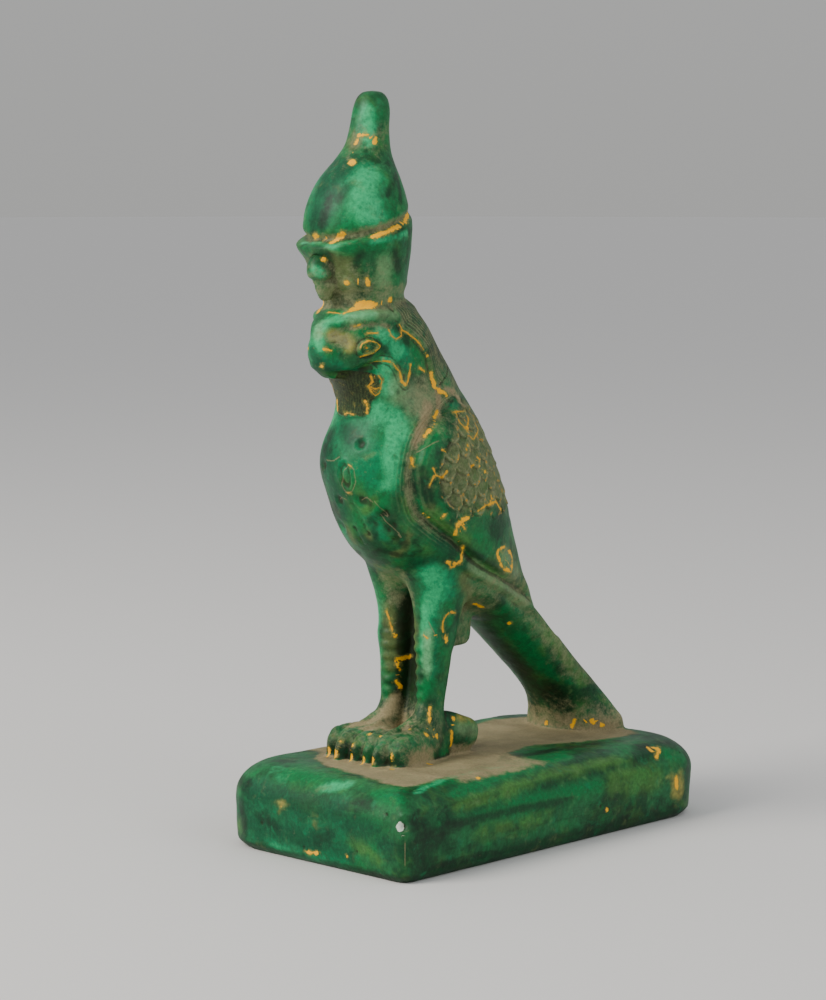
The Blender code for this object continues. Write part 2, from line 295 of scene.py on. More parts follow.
@dataclass(frozen=True)
class Ball:
    """An ellipsoid, tipped about X by tilt degrees."""

    middle: Point
    radii: Point
    tilt: float = 0.0

    def build(self) -> Object:
        """Adds the ball at its place.

        Returns:
            The ball.
        """
        bpy.ops.object.select_all(action="DESELECT")
        bpy.ops.mesh.primitive_uv_sphere_add(
            segments=32,
            ring_count=20,
            radius=1.0,
            location=tuple(value * MM for value in self.middle),
            rotation=(math.radians(self.tilt), 0, 0),
            scale=tuple(value * MM for value in self.radii),
        )
        form = bpy.context.active_object
        bpy.ops.object.transform_apply(location=True, rotation=True, scale=True)
        return form


@dataclass(frozen=True)
class Line:
    """A line carved on both sides of the falcon, as Y and Z."""

    points: tuple[tuple[float, float], ...]

    def distance(self, y: Array, z: Array) -> Array:
        """How far points are from the line in the side view.

        Args:
            y: Their Y.
            z: Their Z.

        Returns:
            The distance, positive on the line's left hand.
        """
        line = smooth_rows(self.points, 6 * len(self.points))
        best = np.full(len(y), FAR_OFF)
        sign = np.ones(len(y))
        for (sy, sz), (ry, rz) in zip(line[:-1], line[1:] - line[:-1]):
            t = np.clip(((y - sy) * ry + (z - sz) * rz) / (ry * ry + rz * rz), 0, 1)
            dy, dz = y - sy - t * ry, z - sz - t * rz
            gap = dy * dy + dz * dz
            nearer = gap < best
            best = np.where(nearer, gap, best)
            sign = np.where(nearer, np.sign(ry * dz - rz * dy), sign)
        return np.sqrt(best) * sign


@dataclass(frozen=True)
class Ring:
    """A closed outline on two axes."""

    points: tuple[tuple[float, float], ...]

    def depth(self, u: Array, v: Array) -> Array:
        """How far inside the outline points are, negative outside.

        Args:
            u: Their place on the first axis.
            v: Their place on the second axis.

        Returns:
            The distance to the outline.
        """
        best = np.full(len(u), FAR_OFF)
        inside = np.zeros(len(u), bool)
        corners = np.array(self.points)
        for (au, av), (bu, bv) in zip(corners, np.roll(corners, -1, 0)):
            ru, rv = bu - au, bv - av
            t = np.clip(((u - au) * ru + (v - av) * rv) / (ru * ru + rv * rv), 0, 1)
            best = np.minimum(best, np.hypot(u - au - t * ru, v - av - t * rv))
            crosses = (av > v) != (bv > v)
            reach = au + (v - av) * ru / (rv if rv else 1.0)
            inside ^= crosses & (u < reach)
        return np.where(inside, best, -best)


@dataclass
class Plinth:
    """The cushion-shaped block that the falcon stands on, with one sharper corner at +X, -Y."""

    length: float = 90.0
    width: float = 51.6
    height: float = 16.0
    corner_radius: float = 10.0
    sharp_corner_radius: float = 2.0
    top_radius: float = 6.5
    foot_radius: float = 1.4
    taper: float = 0.5
    top_slope: float = 0.014

    def outline(self) -> Object:
        """The underside: a rectangle with its corners rounded in edit mode.

        Returns:
            The flat outline at the table, sized for the widest level.
        """
        bpy.ops.object.select_all(action="DESELECT")
        bpy.ops.mesh.primitive_plane_add(size=1.0)
        form = bpy.context.active_object
        bpy.ops.transform.resize(value=(self.width * MM, self.length * MM, 1.0))
        bpy.ops.object.transform_apply(location=True, rotation=True, scale=True)
        for sharp, radius in ((False, self.corner_radius), (True, self.sharp_corner_radius)):
            for part in (form.data.vertices, form.data.edges, form.data.polygons):
                part.foreach_set("select", [False] * len(part))
            for vert in form.data.vertices:
                at_corner = abs(vert.co.x) > 0.499 * self.width * MM
                at_corner = at_corner and abs(vert.co.y) > 0.499 * self.length * MM
                vert.select = at_corner and (vert.co.x > 0 and vert.co.y < 0) == sharp
            bpy.ops.object.mode_set(mode="EDIT")
            bpy.ops.mesh.bevel(offset=radius * MM, segments=9, affect="VERTICES")
            bpy.ops.object.mode_set(mode="OBJECT")
        return form

    def levels(self) -> list[tuple[float, float]]:
        """Height and inset of each level, from the table to the top.

        Returns:
            The levels from the bottom up.
        """
        foot = self.foot_radius
        shoulder = self.height - self.top_radius
        levels = [(0.0, foot), (0.35, 0.45 * foot), (foot, 0.0)]
        for degrees in range(0, 100, 10):
            angle = math.radians(degrees)
            up, inward = math.sin(angle), 1 - math.cos(angle)
            levels.append((shoulder + self.top_radius * up, self.top_radius * inward))
        return levels

    def build(self) -> Object:
        """Raises the outline level by level and leans the top a little to the front.

        Returns:
            The closed block on the falcon's axes.
        """
        form = self.outline()
        shoulder = self.height - self.top_radius
        size, height = np.ones(3), 0.0
        bpy.ops.object.mode_set(mode="EDIT")
        bpy.ops.mesh.select_all(action="SELECT")
        for k, (z, inset) in enumerate(self.levels()):
            inset += self.taper * max(0.0, 1 - z / shoulder) ** 1.5
            target = np.array([1 - 2 * inset / self.width, 1 - 2 * inset / self.length, 1.0])
            scale, middle = tuple(target / size), (0, 0, z * MM)
            if k:
                pull_to((0, 0, (z - height) * MM), scale, middle)
            else:
                bpy.ops.transform.resize(value=scale, center_override=middle)
            size, height = target, z
        close_form()
        places = read_points(form)
        lean = self.top_slope * np.maximum(0, places[:, 2] - shoulder) / self.top_radius
        places[:, 2] -= lean * places[:, 1]
        places[:, :2] -= FALCON_PLACE
        write_points(form, places)
        return form


@dataclass
class Falcon:
    """The falcon's forms before they are carved."""

    leg_spacing: float = 9.8
    toe_tip_y: float = -26.8
    toe_knuckle_y: float = -23.0
    right_toes_x: Point = (-8.8, -4.8, -1.3)
    left_toes_x: Point = (8.3, 5.4, 2.0)
    toes_shorter: Point = (1.5, 0.0, 0.7)
    crown: tuple = (
        (145, -22.6, 0.6, 0.6), (144.6, -22.6, 2.1, 2.1), (143.3, -22.7, 3.1, 3.1),
        (141.2, -22.9, 3.6, 3.6), (138, -23.4, 3.8, 3.8), (134.9, -23.9, 4.3, 4.3),
        (132.5, -24.7, 5.3, 5.3), (128.2, -26, 7.9, 7.9), (123.7, -26.6, 9.6, 9.6),
        (119.4, -26.7, 10.3, 10.3), (114.8, -26.6, 10.1, 10.1), (110.2, -26.2, 9.2, 9.2),
        (106, -25.2, 8.3, 8.3), (101.5, -24.2, 8, 8),
    )
    torso: tuple = (
        (106.6, -24.4, 5.8, 6.8), (105.4, -24.3, 7.6, 8.9), (103, -24.1, 8.4, 10.4),
        (100, -23, 9, 12.1), (96.4, -20.9, 9.2, 12.5), (91.9, -18.3, 9.3, 13.5),
        (87.2, -15.6, 10.3, 13.5), (82.5, -14.1, 12.5, 14.9), (77.8, -14.1, 14.4, 17.2),
        (73.2, -13.3, 15.2, 18.5), (68.4, -11.2, 15.2, 18.8), (63.4, -9.3, 14.7, 18.9),
        (58.4, -6.8, 13.8, 18.5), (53.4, -2.6, 12.4, 16.6), (48.6, 2.2, 10.8, 12.8),
        (44.5, 6.6, 8.8, 8.2), (41, 10.2, 6, 4.2),
    )
    tail: tuple = (
        (60, -0.5, 9, 8), (52, 4, 9.2, 8), (46, 8.5, 9, 7.5), (42, 12.1, 8.6, 7),
        (38.3, 16.1, 8.2, 6.8), (34.8, 20.2, 8, 6.8), (31.5, 23.7, 7.9, 6.6), (28.6, 27, 7.9, 6.5),
        (25.2, 30.5, 8.2, 6.4), (22.3, 33.2, 8.8, 6.5), (19.5, 35, 9.8, 6.9),
        (17.4, 35.8, 10.8, 7.2), (13, 35.8, 11, 7.2),
    )
    thigh: tuple = (
        (61, -5.4, 7.2, 12), (57, -6.2, 7.4, 11.8), (53.5, -7.4, 6.8, 10.2), (50.5, -8.5, 5.6, 8.2),
        (47.5, -9.2, 4.6, 6.5), (44.5, -9.7, 4, 5.5), (41.5, -10.1, 3.6, 4.9),
        (38.4, -10.5, 3.35, 4.6), (36.5, -10.8, 3, 4.1), (34.6, -10.9, 2.9, 3.85),
        (30.7, -11.3, 2.7, 3.45), (26.9, -11.7, 2.5, 3.05), (24.5, -12.4, 2.7, 3.7),
        (22, -13.4, 3.3, 5), (13.5, -14, 3.8, 5.6),
    )
    web: tuple = (
        (58, -3, 5, 6), (48, -2.6, 4.6, 5.6), (42, -2.4, 4.2, 5.2), (38.2, -2.3, 3.9, 4.9),
        (36.8, -2.6, 3.3, 4.2),
    )
    web_low: tuple = (
        (55, -7.4, 3.4, 2.6), (41, -8.2, 3.2, 2), (28, -9.2, 3, 1.7), (22, -10.6, 3.2, 2.4),
        (13.5, -11.6, 3.4, 3),
    )
    beak: tuple = (
        (-22, 97.4, 8, 6.6), (-28, 97.4, 7.8, 6.5), (-31.5, 97.3, 6.8, 6.2), (-34.5, 97, 5.2, 5.6),
        (-36.2, 96.8, 3.8, 4.4), (-37.4, 96.7, 2.6, 3), (-38.1, 96.7, 1.2, 1.5),
    )
    foot: tuple = (
        (-7.5, 19.2, 2.2, 3.6), (-11, 19.5, 3, 5.1), (-15, 19.2, 3.7, 4.8), (-19, 18.7, 4.4, 4),
        (-23, 18.3, 4.9, 3.4), (-25, 17.8, 4.6, 2.6),
    )
    front_toe: tuple = (
        (-12, 18.5, 1.7, 3.5, 0.5), (-18, 18.4, 1.9, 4, 0.92), (-22.8, 18.3, 1.9, 3.9, 1.07),
        (-25.6, 18.1, 1.7, 3.4, 1.04), (-27, 17.7, 1.3, 2.6, 1), (-27.8, 17.2, 0.6, 1.4, 1),
    )
    rear_toe: tuple = (
        (-12, 20, 2, 3.6, 0), (-8.5, 20.4, 2.4, 4.6, 0.2), (-5.5, 20, 2.5, 4.3, 0.5),
        (-3, 19.7, 2.4, 3.7, 0.7), (-1, 20, 2, 2.6, 0.8), (0.2, 20.3, 1, 1.2, 0.8),
    )
    cobra_head: Ball = Ball((0.0, -36.3, 111.2), (2.3, 2.9, 2.5), 20.0)
    cobra_chest: Ball = Ball((0.0, -35.0, 107.9), (2.0, 2.5, 3.1), -20.0)

    def foot_forms(self, side: float, places: Point) -> list[Loft]:
        """The forms of one foot.

        Args:
            side: Middle X of the leg.
            places: X of the three front toes, the outer one first.

        Returns:
            The instep, three front toes and the rear toe.
        """
        forms = [Loft(self.foot, Run.FORWARD, 2.4, side, rows=24, edges=32)]
        knuckle = self.toe_knuckle_y
        for place, shorter in zip(places, self.toes_shorter):
            stations = []
            for y, *sizes, share in self.front_toe:
                y += shorter * max(0.0, (y - knuckle) / (self.toe_tip_y - knuckle))
                stations.append((y, *sizes, share * (place - side)))
            forms.append(Loft(tuple(stations), Run.FORWARD, 2.4, side, rows=24, edges=24))
        outward = math.copysign(1.0, side)
        rear = tuple((*row, share * outward) for *row, share in self.rear_toe)
        forms.append(Loft(rear, Run.FORWARD, 2.2, side, rows=20, edges=24))
        return forms

    def forms(self) -> list[Loft | Ball]:
        """All the forms whose union is the falcon.

        Returns:
            The forms, not yet built.
        """
        forms: list[Loft | Ball] = [
            Loft(self.crown),
            Loft(self.torso),
            Loft(self.beak, Run.FORWARD, 2.2),
            Loft(self.tail, power=2.5, flare=0.22),
            Loft(self.web, power=3.0, rows=20),
            Loft(self.web_low, power=2.6, rows=20),
            self.cobra_head,
            self.cobra_chest,
        ]
        half = self.leg_spacing / 2
        for side, places in ((-half, self.right_toes_x), (half, self.left_toes_x)):
            forms.append(Loft(self.thigh, side=side))
            forms.extend(self.foot_forms(side, places))
        return forms


@dataclass
class Carving:
    """The carved relief: how far the surface stands out or in, from a point's place."""

    rim_z: float = 119.4
    rim_rise: float = 0.30
    crown_y: float = -26.5
    crown_foot_band: tuple[float, float] = (104.0, 107.7)
    wing_edge: Line = Line((
        (1, 94.5), (-4, 90.5), (-10, 86.7), (-15.5, 83.8), (-20.2, 80.2), (-22.9, 76.2),
        (-23.3, 71.6), (-21.8, 66.8), (-19.9, 64.4), (-17.3, 62.4), (-15, 60.9), (-9.9, 57.2),
        (-4.6, 54), (2.6, 51), (11.5, 47.2), (17.5, 43), (23, 38),
    ))
    flank_edge: Line = Line(
        ((-12.0, 55.6), (-6.5, 52.6), (2.4, 48.7), (9.4, 45.4), (17.9, 40.2), (23.0, 35.4))
    )
    wig_edge: Line = Line((
        (-25.2, 104.6), (-24, 100.4), (-21, 98.6), (-17.6, 96), (-16.3, 92), (-15.2, 88.8),
        (-13, 87.2), (-9.5, 86.2), (-5, 85),
    ))
    brow: Line = Line((
        (-40, 99.6), (-37, 100.4), (-35, 101.7), (-32.5, 102.6), (-28.5, 103), (-25, 102.6),
    ))
    under_brow: Line = Line(
        ((-36.2, 99.4), (-34.6, 100.1), (-32.0, 100.9), (-29.0, 101.2), (-26.8, 100.6))
    )
    cheek: Line = Line((
        (-31.5, 94.2), (-28, 94.6), (-25.8, 94), (-24.4, 92.4), (-23.4, 90.4), (-22.7, 89.5),
    ))
    cheek_back: Line = Line(((-22.5, 89.6), (-21.9, 91.8), (-21.6, 94.4)))
    jaw: Line = Line(((-38.0, 92.6), (-34.0, 93.0), (-30.5, 93.9), (-28.0, 94.6)))
    mouth: Line = Line(((-38.4, 96.6), (-37.2, 96.2), (-35.6, 94.6), (-33.6, 93.8), (-31.0, 93.6)))
    bib: Ring = Ring((
        (0, 83.6), (2.9, 83.7), (4.1, 84.3), (4.4, 86.8), (5.6, 87.6), (6.6, 89), (6.9, 91),
        (6.3, 93.2), (5, 95), (0, 96), (-1, 90),
    ))
    eye_rim: Ring = Ring((
        (-32.4, 96.7), (-32.2, 97.3), (-31.7, 97.8), (-30.9, 98.15), (-30.2, 98), (-29.6, 97.65),
        (-29, 97.2), (-29.7, 96.5), (-30.3, 96.05), (-31.1, 95.75), (-31.8, 95.7), (-32.3, 96),
    ))
    dust_ring: Ring = Ring((
        (-13, -25), (-9.5, -29.5), (-3, -32.6), (4.5, -34.4), (13.5, -36), (18.8, -37.6),
        (22.8, -36.1), (21.8, -26.6), (18.6, -17.3), (17.3, -5.9), (12.8, 1.5), (10.1, 11.1),
        (14.7, 22.4), (15.6, 27.7), (16.7, 33.8), (16.2, 39), (4, 41.5), (-10, 40), (-15, 30),
        (-13, 10), (-16, -8),
    ))
    breast_cuts: tuple[Line, ...] = (
        Line(((1.3, 66.8), (2.3, 63.5), (2.8, 60.9))),
        Line(((7.2, 66.2), (8.0, 62.2), (7.7, 58.5))),
        Line(((6.3, 64.6), (6.8, 60.5), (6.6, 58.1))),
        Line(((-0.2, 62.0), (0.6, 58.5), (3.2, 56.2))),
    )
    cut_radii: tuple[float, ...] = (0.6, 0.75, 0.5, 0.5)
    breast_pits: tuple[Point, ...] = (
        (4.2, 78.6, 1), (-2.3, 67.4, 1.1), (3.6, 67.7, 1.2), (4.9, 63.1, 1.4), (7.1, 65.2, 1.1),
        (-5.4, 74, 1.1), (-4.6, 62, 1.3),
    )
    plinth_pits: tuple[tuple[float, ...], ...] = (
        (23.4, -42.9, 12.5, 0.4), (14.6, -27.6, 16.4, 0.35), (2, -43.4, 3, 0.4),
        (16, -43.4, 4.4, 0.35), (28.6, 12, 6.2, 0.35), (-9.5, -43.4, 6, 0.4),
    )
    corner_chip: Point = (28.0, -43.2, 10.9)
    feather_width: float = 3.7
    feather_step: float = 3.0
    feather_length: float = 4.7
    feather_slant: float = math.radians(16)
    toes_x: tuple[float, ...] = (-8.8, -4.8, -1.3, 2.0, 5.4, 8.3)
    toe_gaps_x: tuple[float, ...] = (-6.8, -3.05, 0.35, 3.7, 6.85)
    lore: tuple[float, float] = (-34.6, 98.4)
    ear: tuple[float, float] = (-25.3, 99.8)

    def above_rim(self, y: Array, z: Array) -> Array:
        """Height above the rim between the two crowns, which rises to the back."""
        return z - self.rim_z - self.rim_rise * (y - self.crown_y)

    def crown_relief(self, x: Array, y: Array, z: Array) -> Array:
        """The rim between the two crowns, the groove above it and the neck of the crown.

        Args:
            x: Points' X.
            y: Points' Y.
            z: Points' Z.

        Returns:
            How far each point stands out, in millimetres.
        """
        above_rim = self.above_rim(y, z)
        on_crown = rise(z, 107, 110)
        front = rise(y, -28, -36)
        lip = np.where(above_rim > -0.7, bump(above_rim, -0.7, 0.6), bump(above_rim, -0.7, 2.4))
        depth = on_crown * (0.2 + 1.35 * front) * lip
        depth -= on_crown * (0.3 + 0.5 * rise(y, -18, -26)) * bump(above_rim, 0.8, 0.8)
        low, high = self.crown_foot_band
        band = window(z, low - 1, low + 1, high - 1.2, high + 1.3)
        depth -= 0.6 * band * rise(y, -16, -20)
        nose = bump(np.hypot(x / 2.6, (z - 109.4) / 0.7), 0, 0.8) * rise(y, -33, -35)
        return depth - 0.45 * nose

    def wing_relief(self, side: Array, y: Array, z: Array) -> Array:
        """The raised wing with its smooth front band, and the double line along the flank.

        Args:
            side: Distance from the middle plane.
            y: Points' Y.
            z: Points' Z.

        Returns:
            How far each point stands out, in millimetres.
        """
        wing = self.wing_edge.distance(y, z)
        on_side = rise(side, 2.5, 6.5) * window(z, 34, 40, 84, 88)
        depth = on_side * 0.5 * rise(wing, -0.2, 1.0) * rise(z, 36, 52)
        low = rise(z, 62, 56)
        depth -= on_side * (0.8 - 0.15 * low) * bump(wing, -0.9, 1.1 - 0.45 * low)
        upper = rise(z, 58, 62)
        band = window(wing, 0.8, 1.6, 3.2, 4.4) * rise(y, -12, -17)
        depth += on_side * upper * 0.28 * band
        depth -= on_side * upper * 0.2 * bump(wing, 4.4, 0.7) * rise(y, -12, -17)
        depth -= 0.35 * rise(y + 0.55 * z, 43.0, 49.0) * window(z, 42, 48, 82, 88)
        flank = self.flank_edge.distance(y, z)
        lines = bump(flank, 0.4, 0.9) - bump(flank, -1.1, 0.8)
        return depth + on_side * 0.3 * lines * rise(z, 55, 52)

    def head_relief(self, side: Array, y: Array, z: Array) -> Array:
        """Brow, lore, eye, cheek mark, ear, beak and the edge of the wig.

        Args:
            side: Distance from the middle plane.
            y: Points' Y.
            z: Points' Z.

        Returns:
            How far each point stands out, in millimetres.
        """
        wig = self.wig_edge.distance(y, z)
        on_head = rise(side, 3.0, 5.5) * window(z, 84, 87, 104, 105.5)
        depth = on_head * 0.35 * rise(wig, -0.4, 0.5)
        depth -= on_head * 0.16 * bump(wig, -0.6, 0.5)
        face = rise(y, -20, -24) * rise(side, 0.8, 2.6) * rise(z, 86, 89)
        brow = rise(y, -22, -25) * window(z, 96, 98, 104.5, 105.5)
        depth += brow * 0.7 * bump(self.brow.distance(y, z), 0.0, 0.95)
        lid = self.eye_rim.depth(y, z)
        pupil = np.hypot(y + 31.3, z - 96.95)
        cheek, cheek_back = self.cheek.distance(y, z), self.cheek_back.distance(y, z)
        jaw, mouth = self.jaw.distance(y, z), self.mouth.distance(y, z)
        marks = {
            "under the brow": (-0.3, self.under_brow.distance(y, z), 0.0, 0.55),
            "lore": (-1.0, np.hypot((y - self.lore[0]) / 2.6, (z - self.lore[1]) / 1.9), 0, 0.85),
            "ridge in the lore": (0.25, np.hypot((y + 33.8) / 0.5, (z - 98.2) / 1.2), 0, 0.8),
            "eyeball": (0.7, np.hypot((y + 29.0) / 4.8, (z - 97.4) / 3.3), 0, 0.7),
            "lid": (0.3, lid, 0.0, 0.24),
            "groove round the lid": (-0.3, lid, -0.62, 0.34),
            "iris": (0.16, np.hypot(y + 30.9, z - 96.95), 0, 0.75),
            "pupil": (-0.3, pupil, 0, 0.24),
            "ring round the pupil": (0.1, pupil, 0.44, 0.14),
            "cheek mark": (0.22, cheek, 0.0, 0.36),
            "its grooves": (-0.14, np.abs(cheek), 0.8, 0.3),
            "back of the cheek mark": (0.22, cheek_back, 0.0, 0.36),
            "grooves of the back": (-0.14, np.abs(cheek_back), 0.8, 0.3),
            "ear": (0.14, np.hypot((y - self.ear[0]) / 1.35, (z - self.ear[1]) / 1.5), 1.0, 0.18),
            "nostril": (-0.3, np.hypot((y + 36.4) / 0.9, (z - 98.0) / 0.35), 0, 0.8),
        }
        for height, reach, middle, width in marks.values():
            depth += face * height * bump(reach, middle, width)
        depth -= face * 0.2 * rise(lid, 0.15, 0.4)
        depth -= face * 0.9 * bump(jaw, -1.2, 1.0) * rise(y, -27, -29)
        return depth - face * 0.08 * bump(mouth, 0.0, 0.4) * rise(y, -33, -36)

    def breast_relief(self, x: Array, y: Array, z: Array) -> Array:
        """The bib under the jaw and the sunken marks on the breast.

        Args:
            x: Points' X.
            y: Points' Y.
            z: Points' Z.

        Returns:
            How far each point stands out, in millimetres.
        """
        front = rise(y, -22, -25)
        places = np.stack([x, y, z], 1)
        bib = self.bib.depth(np.abs(x), z) + 0.3 * cloud(places, 1.6, 3)
        depth = front * 0.3 * rise(bib, -0.3, 0.35) * rise(z, 94.5, 93.0)
        knobs = cloud(places, 0.9, 8) * bump(np.hypot(np.abs(x) - 5.7, (z - 90.6) / 1.4), 0, 1.6)
        depth += front * 0.18 * knobs
        almond = np.hypot((x - 1.2) / 1.6, (z - 72.6) / 2.9)
        depth += front * (0.3 * bump(almond, 1.0, 0.18) - 0.45 * bump(almond, 0.62, 0.36))
        for px, pz, radius in self.breast_pits:
            spot = np.hypot(x - px, z - pz)
            depth -= front * (0.5 * bump(spot, 0, radius) - 0.1 * bump(spot, 1.3 * radius, 0.4))
        rough = 0.6 + 0.8 * cloud(places, 1.0, 9)
        for cut, cut_radius in zip(self.breast_cuts, self.cut_radii):
            depth -= front * 0.4 * rough * bump(cut.distance(x, z), 0, cut_radius)
        return depth

    def feather_relief(self, side: Array, y: Array, z: Array) -> tuple[Array, Array]:
        """Scale feathers that overlap downwards and to the back over the upper wing.

        Args:
            side: Distance from the middle plane.
            y: Points' Y.
            z: Points' Z.

        Returns:
            The relief, and a mask that is 1 in the cleft under a feather's rim and -1 on the rim.
        """
        wing = self.wing_edge.distance(y, z)
        back = rise(y + 0.5 * z, 38.5, 35.5)
        start = wing + 2.6 * rise(y, -17.5, -12.5)
        where = rise(start, 2.8, 3.8) * rise(side, 7, 9) * window(z, 62.5, 65, 84.5, 86.5) * back
        width, height, slant = self.feather_width, self.feather_step, self.feather_slant
        wander = np.stack([side, y, z], 1)
        across = y * math.cos(slant) + z * math.sin(slant) + 0.35 * cloud(wander, 3.0, 11)
        down = y * math.sin(slant) - z * math.cos(slant) + 90 + 0.35 * cloud(wander, 3.0, 12)
        depth, edge = np.zeros(len(y)), np.zeros(len(y))
        done = np.zeros(len(y), bool)
        row_here = np.floor(down / height)
        rim, round_from = 0.84, 0.45
        for up in (2, 1, 0):
            row = row_here - up
            shift = np.where(row % 2 == 0, 0.0, width / 2)
            column = np.round((across - shift) / width)
            u = (across - shift - column * width) / (width * 0.52)
            v = (down - row * height) / self.feather_length
            tip = np.hypot(u, (v - round_from) / (1 - round_from))
            reach = np.where(v > round_from, tip, np.abs(u))
            inside = (reach < 1) & (v >= 0) & ~done
            depth = np.where(inside, 0.4 * v + 0.08 * bump(reach, rim, 0.15), depth)
            edge = np.where(inside, -bump(reach, rim, 0.14), edge)
            cleft = ~inside & ~done & (v >= 0) & (reach < 1.4)
            edge = np.where(cleft, np.maximum(edge, bump(reach, 1.1, 0.2)), edge)
            done |= inside
        return (1.25 * depth - 0.22 - 0.24 * np.maximum(edge, 0)) * where, edge * where

    def feathers(self, side: Array, y: Array, z: Array) -> Array:
        """The relief of the scale feathers alone."""
        return self.feather_relief(side, y, z)[0]

    def leg_relief(self, x: Array, y: Array, z: Array) -> Array:
        """Scutes down the front of the legs, the knee and the toes' joints.

        Args:
            x: Points' X.
            y: Points' Y.
            z: Points' Z.

        Returns:
            How far each point stands out, in millimetres.
        """
        side = np.abs(x)
        front = rise(y, -11.5, -14.5) * window(z, 25, 28, 41, 43)
        scute = 0.5 + 0.5 * np.cos((z - 40.0) * 2 * math.pi / 2.3)
        inner = rise(side, 6.2, 5.0)
        depth = front * inner * 0.34 * (scute - 0.5)
        depth += 0.25 * bump(np.hypot(y + 13.4, z - 39.8), 0, 1.6) * rise(side, 4.5, 6.5)
        on_toe = rise(y, -16.5, -18.5) * window(z, 16.4, 17.4, 22.5, 24)
        for joint in (-19.4, -22.4):
            depth -= on_toe * 0.12 * bump(y, joint, 0.3)
        on_top = window(y, -26, -24.6, -16, -13) * window(z, 18.6, 20.0, 23, 25)
        for gap in self.toe_gaps_x:
            depth += on_top * 0.55 * bump(x, gap, 0.8)
        for toe in self.toes_x:
            near_tip = rise(y, -23.5, -25.0) * bump(x, toe, 1.5)
            depth += near_tip * 0.3 * bump(np.hypot((x - toe) / 0.9, (z - 19.0) / 1.3), 0.0, 0.9)
            depth -= near_tip * 0.2 * bump(z, 20.7, 0.35)
            claw = np.sqrt((x - toe - 0.2) ** 2 + (y + 27.6) ** 2 * 0.6 + (z - 16.9) ** 2)
            depth += 0.45 * bump(claw, 0, 0.6)
        return depth

    def plinth_relief(self, x: Array, y: Array, z: Array) -> Array:
        """The hand-cast unevenness of the plinth, its creased edge, the chip and pits.

        Args:
            x: Points' X.
            y: Points' Y.
            z: Points' Z.

        Returns:
            How far each point stands out, in millimetres.
        """
        places = np.stack([x, y, z], 1)
        on_block = window(z, 0.3, 1.5, 15.6, 16.8)
        depth = on_block * (0.16 * cloud(places, 14.0, 5) + 0.07 * cloud(places, 4.0, 6))
        long_side = rise(x, 25.5, 28.0)
        crease = z - 12.6 - 0.02 * (y + 30)
        depth += on_block * long_side * 0.35 * (bump(crease, 0.5, 0.8) - bump(crease, -0.8, 0.9))
        depth -= 1.1 * bump(np.linalg.norm(places - self.corner_chip, axis=1), 0, 0.9)
        for *pit, radius in self.plinth_pits:
            depth -= 0.35 * bump(np.linalg.norm(places - pit, axis=1), 0, radius)
        return depth

    def depth(self, places: Array) -> Array:
        """The whole relief.

        Args:
            places: Points in millimetres on the falcon's axes.

        Returns:
            How far each stands out, in millimetres.
        """
        x, y, z = places.T
        side = np.abs(x)
        total = np.zeros(len(x))
        for part, width, low, high in (
            (self.crown_relief, x, 102, 146),
            (self.wing_relief, side, 30, 90),
            (self.head_relief, side, 83, 107),
            (self.breast_relief, x, 58, 96),
            (self.feathers, side, 60, 88),
            (self.leg_relief, x, 15, 46),
            (self.plinth_relief, x, 0, 17.5),
        ):
            here = (z > low) & (z < high)
            total[here] += part(width[here], y[here], z[here])
        total += 0.06 * cloud(places, 5.0, 1) + 0.03 * cloud(places, 1.8, 2)
        return total


class Sides(Enum):
    """On which sides of the falcon a mark is."""

    BOTH = "the same on both sides, because it follows a carved line"
    SHIFTED = "here, and a little way off on the other side"
    ONE = "only here"


@dataclass(frozen=True)
class Stroke:
    """A worn touch of paint, a chip or a painted highlight: a line of points with a radius."""

    radius: float
    sides: Sides
    points: tuple[Point, ...]

    def copies(self) -> list[Array]:
        """The line here and on the other side, one point a row.

        Returns:
            One line, or two.
        """
        here = np.array(self.points, float)
        other = here * MIRROR + (STROKE_SHIFT if self.sides is Sides.SHIFTED else 0)
        return [here] if self.sides is Sides.ONE else [here, other]

    def spans(self) -> list[tuple[Array, Array]]:
        """Start and end of each straight run of the copies."""
        return [pair for line in self.copies() for pair in runs(line)]


@dataclass(frozen=True)
class Patch:
    """A soft wash of a stain, of painted shade or of painted highlight, along a line of points."""

    radius: float
    points: tuple[Point, ...]
    both_sides: bool

    def amount(self, places: Array) -> Array:
        """How strong it is at points, here and perhaps a little way off on the other side.

        Args:
            places: Points in millimetres.

        Returns:
            The amount at each point.
        """
        nearest = np.full(len(places), FAR_OFF)
        here = np.array(self.points, float)
        for line in (here, here * MIRROR + WASH_SHIFT)[: 1 + self.both_sides]:
            for first, last in runs(line):
                run = last - first
                share = ((places - first) @ run) / max(float(run @ run), 1e-9)
                gap = places - first - np.clip(share, 0, 1)[:, None] * run
                nearest = np.minimum(nearest, (gap**2).sum(1))
        return np.exp(-nearest / (WASH_SOFTNESS * self.radius) ** 2)


def runs(line: Array) -> list[tuple[Array, Array]]:
    """The straight runs of a line. A single point is one run of no length."""
    return list(zip(line[:-1], line[1:])) or [(line[0], line[0])]


def strokes(rows: dict[Sides, tuple]) -> tuple[Stroke, ...]:
    """Makes strokes from rows, each a radius and the points of a line in millimetres.

    Args:
        rows: The rows by the sides that they are on.

    Returns:
        The strokes in order.
    """
    return tuple(
        Stroke(radius, sides, tuple(points))
        for sides, table in rows.items()
        for radius, *points in table
    )
